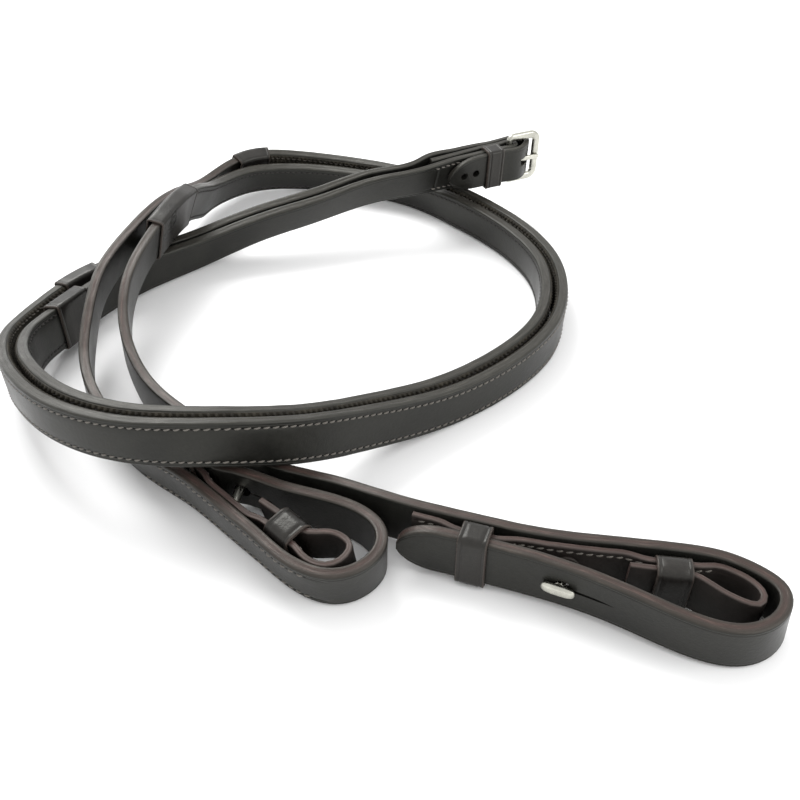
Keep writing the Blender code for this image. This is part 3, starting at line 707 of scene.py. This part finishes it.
def hump(distance, width):
    return math.exp(-(distance / width) ** 2)


class Section:
    """Cross-section of a strap, grain at +x: rounded edges, a crease near them and a stitched groove."""

    FACE_INSETS = (1.05, 1.2, 1.35, 1.5, 1.75, 2.1, 2.3, 2.5, 2.7, 2.9, 3.6)
    BACK_INSETS = (0.8, 1.4, 2.2, 2.8, 3.8)

    def __init__(self, width, thick, groove, crown, crease=0.16, dent=0.0, row=STITCH_INSET):
        self.w, self.t = width / 2, thick / 2
        self.groove, self.crease, self.crown, self.dent, self.row = groove, crease, crown, dent, row
        self.scale = min(1.0, self.w / 6.0)
        self.points, self.rim, self.core = [], [], []
        self.trace()

    def add(self, x, y, rim=0.0, core=0.0):
        self.points.append((x, y))
        self.rim.append(rim)
        self.core.append(core)

    def face_height(self, inset):
        height = self.t + self.crown * (1.0 - (1.0 - inset / self.w) ** 2) - self.dent
        height -= self.groove * hump(inset - self.row, 0.42)
        return height - self.crease * hump(inset - 1.35, 0.22)

    def trace(self):
        """Goes up the grain face, over the upper edge, down the lining and under the lower edge."""
        k, w, t = self.scale, self.w, self.t
        insets = [inset * k for inset in self.FACE_INSETS]
        middle = [insets[-1] + (w - insets[-1]) * f for f in (0.34, 0.67)]
        half = [(w - inset, self.face_height(inset / k if k < 1 else inset)) for inset in insets + middle]
        for y, x in half:
            self.add(x, -y)
        self.add(self.face_height(w), 0.0)
        for y, x in half[::-1]:
            self.add(x, y)
        self.edge(1)
        back = [(w - inset * k) for inset in self.BACK_INSETS] + [(w - 3.8 * k) * 0.5]
        for y in back:
            self.add(-t, y)
        self.add(-t, 0.0)
        for y in back[::-1]:
            self.add(-t, -y)
        self.edge(-1)

    def edge(self, sign):
        """The burnished edge: a round grain corner, a slightly hollow middle and a tighter lining corner."""
        w, t = self.w, self.t
        r = min(1.0 * self.scale, t * 0.62)
        r2 = min(0.7 * self.scale, t * 0.45)
        steps = []
        for degrees, rim in ((18, 0.15), (36, 0.5), (56, 0.85), (76, 1.0)):
            c, s = direction(degrees)
            steps.append((t - r * (1 - c), w - r * (1 - s), rim, 0.0))
        top, low = t - r, -(t - r2)
        for fraction, sink, core in ((0.12, 0.0, 0.1), (0.36, 0.07, 0.7), (0.6, 0.1, 1.0), (0.84, 0.03, 0.5)):
            steps.append((top + (low - top) * fraction, w - sink * self.scale, 1.0, core))
        for degrees, rim in ((70, 0.9), (42, 0.6), (16, 0.3)):
            c, s = direction(degrees)
            steps.append((-t + r2 * (1 - c), w - r2 * (1 - s), rim, 0.0))
        if sign < 0:
            steps = steps[::-1]
        for x, y, rim, core in steps:
            self.add(x, y * sign, rim, core)


TIP_STATIONS = (0.01, 0.03, 0.06, 0.1, 0.16, 0.24, 0.33, 0.44, 0.56)  # shares of a tip's length


def fine_stations(start, end, tips, marks):
    """Close cross-sections, closer still at rounded tips and at creases across the strap."""
    step = STATION_STEP
    places = list(np.arange(start + step, end - step * 0.5, step)) + [start, end]
    for at in tips:
        inward = 1 if at == start else -1
        places += [at + inward * BILLET_POINT * f for f in TIP_STATIONS]
    for mark in marks:
        places = [s for s in places if abs(s - mark) > 1.3]
        places += [mark + d for d in (-1.2, -0.7, -0.3, 0.0, 0.3, 0.7, 1.2)]
    return sorted(set(round(float(s), 4) for s in places))


def unevenness(s, seed):
    """Slow waver of a cut edge, in millimetres."""
    waves = ((0.05, 7.3, 1.0), (0.04, 3.1, 2.7), (0.03, 1.7, 1.0))
    return sum(height * math.sin(s / length + phase * seed) for height, length, phase in waves)


def strap_skin(name, path, grain, width, section_at, tips, looks, marks=(), red_at=lambda s: 1.0):
    """Fine strap along a path, rounded at its tips. red_at says how red the edge is at a distance."""
    rings, rims, cores = [], [], []
    stations = fine_stations(0.0, path.length, tips, marks)
    for s in stations:
        full = width
        for at in tips:
            full = min(full, pointed_width(abs(s - at), width, BILLET_POINT))
        section = section_at(s, full)
        waver = (unevenness(s, 1.3), unevenness(s, 4.1))
        centre, _, out, up = path.frame(s)
        ring = []
        for (x, y), rim in zip(section.points, section.rim):
            y += waver[0 if y > 0 else 1] * rim
            ring.append(centre + out * x * grain + up * y)
        rings.append(ring)
        rims.append(section.rim)
        cores.append([red_at(s) * (0.35 * rim + 0.65 * core) for rim, core in zip(section.rim, section.core)])
    return skin(name, rings, looks, (("rim", rims), ("core", cores)), along=np.array(stations))


def row_places(path, distances, offset, row):
    """Point, travel, outward and up on one face of a strap, for each distance along a row."""
    side = 1 if offset > 0 else -1
    for s in distances:
        centre, tangent, out, up = path.frame(s)
        yield centre + out * offset + up * row, tangent, out * side, up


def stitch_row(matrices, path, start, end, offset, row):
    """Adds a row of slanted stitches."""
    straight, slanted = direction(STITCH_SLANT)
    count = int((end - start) / STITCH_PITCH)
    distances = [start + (k + 0.5) * STITCH_PITCH for k in range(count)]
    for centre, tangent, outward, up in row_places(path, distances, offset, row):
        along = tangent * straight + up * slanted
        matrices.append(np.column_stack([along, outward, np.cross(outward, along), centre]))


def upright_row(matrices, path, distances, offset, row):
    """Adds a row of small shapes whose x points out of the strap."""
    for centre, tangent, outward, up in row_places(path, distances, offset, row):
        matrices.append(np.column_stack([outward, tangent, up, centre]))


def sewn_row(stitches, holes, path, start, end, offset, row):
    """A row of stitches with the needle holes between them, sunk into the face at an offset."""
    side = 1 if offset > 0 else -1
    stitch_row(stitches, path, start, end, offset - side * STITCH_SINK, row)
    count = int((end - start) / STITCH_PITCH)
    distances = [start + k * STITCH_PITCH for k in range(count + 1)]
    upright_row(holes, path, distances, offset - side * HOLE_SINK, row)


def seam(stitches, holes, path, start, end, offset):
    for row in (STITCH_ROW, -STITCH_ROW):
        sewn_row(stitches, holes, path, start, end, offset, row)


# Shapes turned about an axis: distance along it, radius
STITCH = [(-1.38, 0.06), (-1.2, 0.2), (-0.8, 0.31), (-0.3, 0.36)]    # one half
# The needle hole is a flat disc whose dark colour is painted shade of the hole.
NEEDLE_HOLE = [(-0.2, 0.36), (0.0, 0.42), (0.03, 0.30)]
PIMPLE = [(-0.1, 1.0), (0.0, 0.96), (0.3, 0.62), (0.62, 0.3), (0.76, 0.12)]


def stitch_shape():
    """A short thread that dips into the leather at both ends; x along it and y outwards."""
    points, faces = turned(STITCH + [(-x, radius) for x, radius in STITCH[::-1]], 7)
    return [(x, y + 0.16 - 0.23 * x * x, z) for x, y, z in points], faces


def sew(side, label, stitches, holes, thread, hole_looks):
    """Puts all the stitches and needle holes of one seam on the reins."""
    hole = turned(NEEDLE_HOLE, 8)
    parts = (("stitches", stitch_shape(), stitches, thread), ("needle_holes", hole, holes, hole_looks))
    for kind, (shape, faces), matrices, looks in parts:
        made = many("_".join((side, label, kind)), shape, faces, matrices, looks)
        belongs(made, "reins", "leather")


# --- sleeves

SLEEVE_PROFILE = [(0.0, 0.0), (0.0, 0.5), (0.12, 0.8), (0.35, 0.97), (0.7, 1.0), (1.25, 1.0), (1.45, 0.86),
                  (1.62, 0.8), (1.8, 0.87), (2.0, 1.0)]


def sleeve_profile(length, swell):
    """(x, share of the wall) pairs from the inside of one end over the outside to the inside of the other."""
    half = length / 2
    first = [(-half + x, share, 1.0 if x < 0.5 else 0.0) for x, share in SLEEVE_PROFILE]
    middle = [(half * f, 1.0 + swell, 0.0) for f in (-0.4, -0.15, 0.15, 0.4)]
    last = [(-x, share, rim) for x, share, rim in first[::-1]]
    inside = [(half * f, 0.0, 0.0) for f in (0.5, 0.0, -0.5)]
    return first + middle + last + inside


def with_flats(outline, pieces=6, shortest=1.5):
    """The same closed outline with more points along its flats: the sides over the shortest length."""
    points = []
    for (y, z), (next_y, next_z) in zip(outline, outline[1:] + outline[:1]):
        count = pieces if math.hypot(next_y - y, next_z - z) > shortest else 1
        points += [(y + (next_y - y) * k / count, z + (next_z - z) * k / count) for k in range(count)]
    return points


def sleeve(name, at, length, low, high, half_height, wall, corner, looks, swell=0.0):
    """A leather band or stop. at(x) gives the centre, length, side and height directions x along it."""
    rings, rims = [], []
    for x, share, rim in sleeve_profile(length, swell):
        out = wall * share
        radius = max(0.35, corner * (0.3 + 0.7 * min(share, 1.0)))
        outline = with_flats(rounded_rectangle(low - out, high + out, half_height + out, radius, 6))
        centre, along, side, up = at(x)
        rings.append([centre + side * y + up * z for y, z in outline])
        rims.append([rim] * len(outline))
    return skin(name, rings, looks, (("rim", rims), ("core", np.zeros_like(rims))), closed=True)


def fixed_axes(matrix):
    columns = [np.array(matrix.col[i][:3]) for i in range(3)]
    origin = np.array(matrix.col[3][:3]) / MM
    return lambda x: (origin + columns[0] * x, columns[0], columns[1], columns[2])


def path_axes(path, middle, sign):
    def at(x):
        centre, tangent, out, up = path.frame(middle - x)
        return centre, -tangent, out * sign, up * sign
    return at


# --- rein halves

def band(low, high, ease=2.0):
    """Function that is 1 between two distances and falls to 0 outside them."""
    return lambda s: max(0.0, min(1.0, (s - low) / ease + 1.0, (high - s) / ease + 1.0))


def rein_strap(side, path, loop_at, stops, turn_end, looks):
    grain = -lining_side(side)
    sewn_grip = band(stops[0][0], stops[1][0])
    sewn_loop = band(loop_at - INNER_START_AT, loop_at - INNER_LEAVES_AT[side])
    sewn_turn = band(turn_end - SEAM_END, turn_end + SEAM_PAST) if side == "right" else (lambda s: 0.0)
    marks = (turn_end,) if side == "right" else ()

    def section_at(s, full):
        groove = GROOVE_DEPTH * max(sewn_grip(s), sewn_loop(s), sewn_turn(s))
        dent = FOLD_DENT * hump(s - turn_end, 0.5) if marks else 0.0
        return Section(full, strap_thickness(s), groove, crown=GRIP_CROWN * sewn_grip(s), dent=dent)

    tips = (0.0, path.length) if side == "left" else (path.length,)
    name = side + "_strap"
    undyed = band(stops[1][0] + RED_FROM, path.length, RED_EASE)
    strap = strap_skin(name, path, grain, STRAP_WIDTH, section_at, tips, looks, marks,
                       lambda s: FAINT_RED + (1.0 - FAINT_RED) * undyed(s))
    matrix = billet_frame(side, path, stud_station(side, path, loop_at))
    cut(strap, prism(keyhole_outline(), *KEYHOLE_DEPTH), matrix)
    return belongs(strap, "reins", "leather", side + "_rein_strap")


def keyhole_outline():
    """Round hole with a slit towards +x that closes to a point."""
    half = SLIT_WIDTH / 2
    start = math.asin(half / KEYHOLE_R)
    arc = [start + (2 * math.pi - 2 * start) * i / 24 for i in range(25)]
    outline = [(KEYHOLE_SHIFT + KEYHOLE_R * math.cos(a), KEYHOLE_R * math.sin(a)) for a in arc]
    shoulder = SLIT_LENGTH - SLIT_TAPER
    return outline + [(shoulder, -half * 0.8), (SLIT_LENGTH, 0.0), (shoulder, half * 0.8)]


def prism(points, low, high):
    """A solid from an outline of (x, z) points run along y, in its own millimetres."""
    mesh = bmesh.new()
    rows = [[mesh.verts.new(Vector((x, y, z)) * MM) for x, z in points] for y in (low, high)]
    for k in range(len(points)):
        k2 = (k + 1) % len(points)
        mesh.faces.new((rows[0][k], rows[0][k2], rows[1][k2], rows[1][k]))
    mesh.faces.new(rows[0][::-1])
    mesh.faces.new(rows[1])
    bmesh.ops.recalc_face_normals(mesh, faces=mesh.faces)
    made = bpy.data.meshes.new("cutter")
    mesh.to_mesh(made)
    mesh.free()
    return made


def cut(target, tool_mesh, matrix):
    """Cuts a solid out of a piece for good, before the piece is put on its body."""
    tool = new_object("cutter", tool_mesh)
    tool.matrix_world = Matrix.Translation(Vector(FRAME_SHIFT) * MM) @ matrix
    boolean = target.modifiers.new("cut", "BOOLEAN")
    boolean.operation, boolean.solver, boolean.object = "DIFFERENCE", "EXACT", tool
    graph = bpy.context.evaluated_depsgraph_get()
    made = bpy.data.meshes.new_from_object(target.evaluated_get(graph))
    target.modifiers.clear()
    target.data = made
    bpy.data.objects.remove(tool)


def grip(side, path, start, end, looks):
    """Rubber on the lining: a thin web with rows of pimples on the side away from the strap."""
    sign = lining_side(side)
    inner = STRAP_THICK / 2 + 0.05
    face = inner + RUBBER_WEB
    half = GRIP_WIDTH / 2
    outline = [(inner, -half), (face - 0.15, -half), (face, -half + 0.3), (face, 0.0), (face, half - 0.3),
               (face - 0.15, half), (inner, half)]
    rings = [[path.point(s, x * sign, y) for x, y in outline] for s in np.arange(start, end, WEB_STEP)]
    web = skin(side + "_grip_web", rings, looks)
    belongs(web, "reins", "rubber", side + "_rubber_grip")
    shape, faces = turned(PIMPLE, 8)
    matrices = []
    for number, row in enumerate(PIMPLE_ROWS):
        shift = PIMPLE_PITCH / 2 * (number % 2)
        distances = np.arange(start + 2 + shift, end - 2, PIMPLE_PITCH)
        upright_row(matrices, path, distances, face * sign, row)
    belongs(many(side + "_grip_pimples", shape, faces, matrices, looks), "reins", "rubber")


def sew_grip(side, path, start, end, thread, hole_looks):
    """Seams through the strap and the rubber, seen on both sides."""
    grain = -lining_side(side)
    stitches, holes = [], []
    for row in (STITCH_ROW, -STITCH_ROW):
        sewn_row(stitches, holes, path, start, end, grain * STRAP_THICK / 2, row)
        stitch_row(stitches, path, start, end, -grain * (STRAP_THICK / 2 + RUBBER_WEB + 0.05), row)
    sew(side, "grip", stitches, holes, thread, hole_looks)


def inner_strap(side, path, loop_at, looks, thread, hole_looks):
    inner = inner_loop_path(side, path, loop_at)
    sign = lining_side(side)
    sewn = band(-10.0, INNER_START_AT - INNER_LEAVES_AT[side])

    def section_at(s, full):
        groove = INNER_GROOVE_DEPTH * sewn(s)
        return Section(full, INNER_THICK, groove, crease=0.06, crown=0.03, row=INNER_STITCH_INSET)

    made = strap_skin(side + "_inner_strap", inner, sign, INNER_WIDTH, section_at, (), looks)
    belongs(made, "reins", "inner_leather", side + "_inner_loop")
    stitches, holes = [], []
    row = INNER_WIDTH / 2 - INNER_STITCH_INSET
    last = INNER_START_AT - INNER_LEAVES_AT[side] - LOOP_SEAM_SHORT
    for up in (row, -row):
        stitch_row(stitches, inner, SEAM_START, last, sign * (INNER_THICK / 2 - INNER_SINK), up)
    start = loop_at - INNER_START_AT + SEAM_START
    end = loop_at - INNER_LEAVES_AT[side] - LOOP_SEAM_SHORT
    seam(stitches, holes, path, start, end, -sign * STRAP_THICK / 2)
    sew(side, "loop", stitches, holes, thread, hole_looks)


def keepers(side, path, loop_at, looks):
    """The two sleeves at the bit end, round the billet and round the small loop."""
    back = STRAP_THICK / 2 + GAP + KEEPER_EASE + KEEPER_WALL
    billet = (BILLET_KEEPER_AT, BILLET_KEEPER_LENGTH, BILLET_KEEPER_REACH, STRAP_WIDTH / 2 + 0.45,
              BILLET_KEEPER_CORNER)
    loop = (LOOP_KEEPER_AT[side], LOOP_KEEPER_LENGTH, LOOP_KEEPER_REACH[side], INNER_WIDTH / 2 + 0.6,
            LOOP_KEEPER_CORNER)
    for label, (distance, length, reach, half, corner) in (("billet_keeper", billet), ("loop_keeper", loop)):
        at = fixed_axes(strap_frame(path, loop_at - distance, lining_side(side)))
        node = side + "_" + label
        made = sleeve(node + "_band", at, length, back, reach, half, KEEPER_WALL, corner, looks)
        belongs(made, "reins", "leather", node)


def stop_sleeves(side, path, stops, looks):
    grain = STRAP_THICK / 2 + STOP_GAP
    lining = STRAP_THICK / 2 + GAP + GRIP_THICK + STOP_GAP
    half = STRAP_WIDTH / 2 + GAP
    for label, (middle, length) in zip(("upper_stop", "lower_stop"), stops):
        at = path_axes(path, middle, lining_side(side))
        node = side + "_" + label
        made = sleeve(node + "_sleeve", at, length, -grain, lining, half, STOP_WALL, SLEEVE_CORNER, looks)
        belongs(made, "reins", "leather", node)


# --- metal

def stud_places(side, path, loop_at, plate_face):
    """Matrix of the head, distance from it of the shank's foot, and the plate's place along the body."""
    matrix = billet_frame(side, path, stud_station(side, path, loop_at))
    body_at = loop_at - STUD_AT[side]
    facing = strap_frame(path, body_at, lining_side(side))
    through, _, head_side, _ = fixed_axes(matrix)(0.0)
    middle, _, lining, _ = fixed_axes(facing)(0.0)
    face = middle + lining * plate_face
    foot = -float(np.dot(through - face, lining) / np.dot(head_side, lining)) + 1.2
    plate_at = nearest(path, (through + head_side * foot)[:2], body_at - 20.0, body_at + 20.0)
    return matrix, foot, plate_at


def stud_rings(at, foot):
    """The round shank from its foot, then the blunt head."""
    half_long, half_high, depth = STUD_HEAD
    half_high *= STUD_SLIMMING
    neck = STRAP_THICK / 2 + 0.5
    rings = [oval(at, STUD_SHANK_R, STUD_SHANK_R, y) for y in (foot, foot + 1, neck - 0.5)]
    for degrees in range(-70, 90, 10):
        c, s = direction(degrees)
        swell = c ** 0.55
        y = neck + depth * (0.42 + 0.55 * s)
        rings.append(oval(at, half_long * swell, half_high * swell, y, STUD_BLUNTNESS))
    return rings


def stud(side, path, loop_at, looks, cover_looks):
    """Hook stud, and the leather-covered plate that it is riveted to."""
    radius, thick = STUD_PLATE
    low = STRAP_THICK / 2 + GAP + INNER_THICK + GAP + 0.15
    high = low + thick
    matrix, foot, plate_at = stud_places(side, path, loop_at, high)
    made = skin(side + "_stud", stud_rings(fixed_axes(matrix), foot), looks)
    belongs(made, "reins", "nickel", side + "_hook_stud")
    at = fixed_axes(strap_frame(path, plate_at, lining_side(side)))
    profile = ((radius, low), (radius, high - 0.35), (radius - 0.12, high - 0.1), (radius - 0.4, high))
    profile += ((1.6, high),)
    cover = skin(side + "_stud_cover", [oval(at, r, r, y) for r, y in profile], cover_looks)
    belongs(cover, "reins", "inner_leather", side + "_stud_plate")


def power(value, exponent):
    """A power that keeps the value's sign."""
    return math.copysign(abs(value) ** exponent, value)


def squared_oval(half_a, half_b, exponent, count, first=0.0):
    """(a, b) pairs round an ellipse. An exponent under 1 squares it."""
    angles = [2 * math.pi * (k + first) / count for k in range(count)]
    return [(half_a * power(math.cos(t), exponent), half_b * power(math.sin(t), exponent)) for t in angles]


def oval(at, half_long, half_high, y, exponent=1.0):
    """A ring of points round the y direction."""
    centre, long, side, high = at(0.0)
    outline = squared_oval(half_long, half_high, exponent, 40)
    return [centre + long * a + side * y + high * b for a, b in outline]


def wire_section(centre, direction, half_width, half_thick):
    """A flattened oval section of the frame, square to a direction in the frame's plane."""
    outline = squared_oval(half_width, half_thick, 0.75, 20, 0.5)
    return [(centre[0] + direction[1] * a, b, centre[1] - direction[0] * a) for a, b in outline]


def frame_rings():
    wide, thick = FRAME_WIRE
    half = FRAME_INNER_HEIGHT / 2 + wide
    r = FRAME_CORNER_R
    corners = [(FRAME_REACH - r, half - r, r, 90, wide), (1.8, half - 1.8, 1.8, 180, BAR_R),
               (1.8, -half + 1.8, 1.8, 270, BAR_R), (FRAME_REACH - r, -half + r, r, 360, wide)]
    rings = []
    steps = 12
    for index, (x, z, radius, last, half_width) in enumerate(corners):
        for step in range(steps + 1):
            c, s = direction(last - 90 + 90 / steps * step)
            point = (x + radius * c, z + radius * s)
            blend = step / steps if index == 1 else 1 - step / steps
            wire = wide + (BAR_R - wide) * blend if half_width == BAR_R else wide
            rings.append(wire_section(point, (-s, c), wire, thick))
    return rings


def placed(points, at):
    centre, along, side, up = at(0.0)
    return [[centre + along * x + side * y + up * z for x, y, z in ring] for ring in points]


def tongue_rings():
    width, thick = TONGUE
    radius = BAR_R + 0.25 + thick / 2
    centre = arc_points(radius, range(20, 271, 10))
    centre += [(x, -radius - 0.05) for x in (2.5, 5.0, 8.0, 11.0, 14.0, FRAME_REACH, FRAME_REACH + 1.0)]
    rings = []
    for i, (x, y) in enumerate(centre):
        before, after = centre[max(i - 1, 0)], centre[min(i + 1, len(centre) - 1)]
        along = unit(np.array([after[0] - before[0], after[1] - before[1]]))
        narrow = 1.0 if x < FRAME_REACH - 2 else 1.0 - 0.45 * (x - FRAME_REACH + 2) / 3.0
        outline = squared_oval(width / 2 * narrow, thick / 2, 0.6, 16, 0.5)
        rings.append([(x + along[1] * deep, y - along[0] * deep, across) for across, deep in outline])
    return rings


def buckle(nickel, leather_looks):
    at = fixed_axes(buckle_matrix())
    wire = skin("buckle_wire", placed(frame_rings(), at), nickel, closed=True)
    belongs(wire, "frame", "nickel", "buckle_frame")
    pin = skin("buckle_pin", placed(tongue_rings(), at), nickel)
    belongs(pin, "tongue", "nickel", "buckle_tongue")
    low = -OUTER_LAYER - SKIVED_THICK / 2 - 0.35
    keeper_at = fixed_axes(buckle_matrix(SEWN_KEEPER_CENTRE))
    made = sleeve("buckle_keeper_band", keeper_at, SEWN_KEEPER_LENGTH, low, -KEEPER_WALL / 2,
                  STRAP_WIDTH / 2 + 0.4, KEEPER_WALL, SLEEVE_CORNER, leather_looks, swell=-0.12)
    belongs(made, "reins", "leather", "buckle_keeper")


def cut_buckle_holes(left, right):
    """The slot for the tongue in the turn, its hole in the point strap and the spare holes."""
    for strap, (start, end, half, low, high) in ((right, TONGUE_SLOT), (left, TONGUE_HOLE)):
        outline = [(start, -half), (end, -half), (end, half), (start, half)]
        cut(strap, prism(outline, low, high), buckle_matrix())
    for x in PUNCH_AT:
        cut(left, prism(arc_points(PUNCH_R, range(0, 360, 18)), *PUNCH_DEPTH), buckle_matrix(x))


def sew_turn(path, turn_end, thread, hole_looks):
    """Stitches through the two layers of the right half's turn, seen on its grain side both ways."""
    stitches, holes = [], []
    for start, end in ((SEAM_START, SEAM_END), (turn_end - SEAM_END + SEAM_START, turn_end + SEAM_PAST)):
        seam(stitches, holes, path, start, end, -SKIVED_THICK / 2)
    sew("right", "turn", stitches, holes, thread, hole_looks)


# --- stage

def add_floor():
    mesh = bpy.data.meshes.new("floor")
    corners = [(x * FLOOR_HALF, y * FLOOR_HALF, 0) for x, y in ((-1, -1), (1, -1), (1, 1), (-1, 1))]
    mesh.from_pydata(corners, [], [(0, 1, 2, 3)])
    made, tree, shader = new_material("floor_paper")
    tone = ramp(tree, noise(tree, 3.0), [(0.3, 0.86), (0.7, 0.88)])
    feed(shader, {"Base Color": tone, "Roughness": 0.9})
    mesh.materials.append(made)
    floor = new_object("floor", mesh)
    floor.location.z = -FLOOR_DROP


def add_light(name, location, target, size, energy):
    lamp = bpy.data.lights.new(name, "AREA")
    lamp.energy, lamp.size = energy, size
    made = new_object(name, lamp)
    made.location = location
    made.rotation_euler = (Vector(target) - Vector(location)).to_track_quat("-Z", "Y").to_euler()


def add_world():
    world = bpy.data.worlds.new("studio")
    world.use_nodes = True
    feed(world.node_tree.nodes["Background"], {"Color": (1.0, 1.0, 1.0, 1.0), "Strength": WORLD_STRENGTH})
    bpy.context.scene.world = world


def add_camera():
    lens = bpy.data.cameras.new("camera")
    lens.lens, lens.sensor_width = 45.0, 36.0
    made = new_object("camera", lens)
    made.location = CAMERA_PLACE
    made.rotation_euler = (math.radians(90.0 - CAMERA_ELEVATION), 0.0, 0.0)
    bpy.context.scene.camera = made


def main():
    grain = leather("bridle_leather", dark=(0.0051, 0.0051, 0.0044), light=(0.0150, 0.0147, 0.0127),
                    rim=(0.027, 0.0265, 0.022), core=(0.050, 0.031, 0.027), gloss=0.36)
    soft = leather("inner_leather", dark=(0.012, 0.010, 0.009), light=(0.026, 0.020, 0.018),
                   rim=(0.060, 0.047, 0.042), core=(0.060, 0.036, 0.032), gloss=0.52)
    glossy = leather("keeper_leather", dark=(0.010, 0.0095, 0.009), light=(0.020, 0.0175, 0.016),
                     rim=(0.045, 0.035, 0.030), core=(0.03, 0.02, 0.018), gloss=0.30)
    rubber, dark = rubber_material(), painted_hole_shade_material()
    pale_thread = thread_material("pale_thread", (0.070, 0.064, 0.056), (0.17, 0.155, 0.135))
    dark_thread = thread_material("dark_thread", (0.012, 0.011, 0.010), (0.035, 0.031, 0.028))
    nickel = nickel_material("satin_nickel", (0.50, 0.495, 0.44), 0.30)
    straps = {}
    for side in ("left", "right"):
        path = rein_path(side)
        loop_at = loop_middle(side, path)
        stops = stop_places(side, path)
        turn_end = TURN_LENGTH * 2 if side == "right" else 0.0
        straps[side] = rein_strap(side, path, loop_at, stops, turn_end, grain)
        start, end = stops[0][0], stops[1][0]
        grip(side, path, start, end, rubber)
        thread = pale_thread if side == "left" else dark_thread
        sew_grip(side, path, start + stops[0][1] / 2, end - stops[1][1] / 2, thread, dark)
        stop_sleeves(side, path, stops, glossy)
        keepers(side, path, loop_at, glossy)
        inner_strap(side, path, loop_at, soft, pale_thread, dark)
        stud(side, path, loop_at, nickel, soft)
        if side == "right":
            sew_turn(path, turn_end, pale_thread, dark)
    cut_buckle_holes(straps["left"], straps["right"])
    buckle(nickel, glossy)
    add_floor()
    add_world()
    add_light("key", **KEY)
    add_light("fill", **FILL)
    add_camera()
    bpy.context.scene.view_settings.view_transform = "Standard"


main()
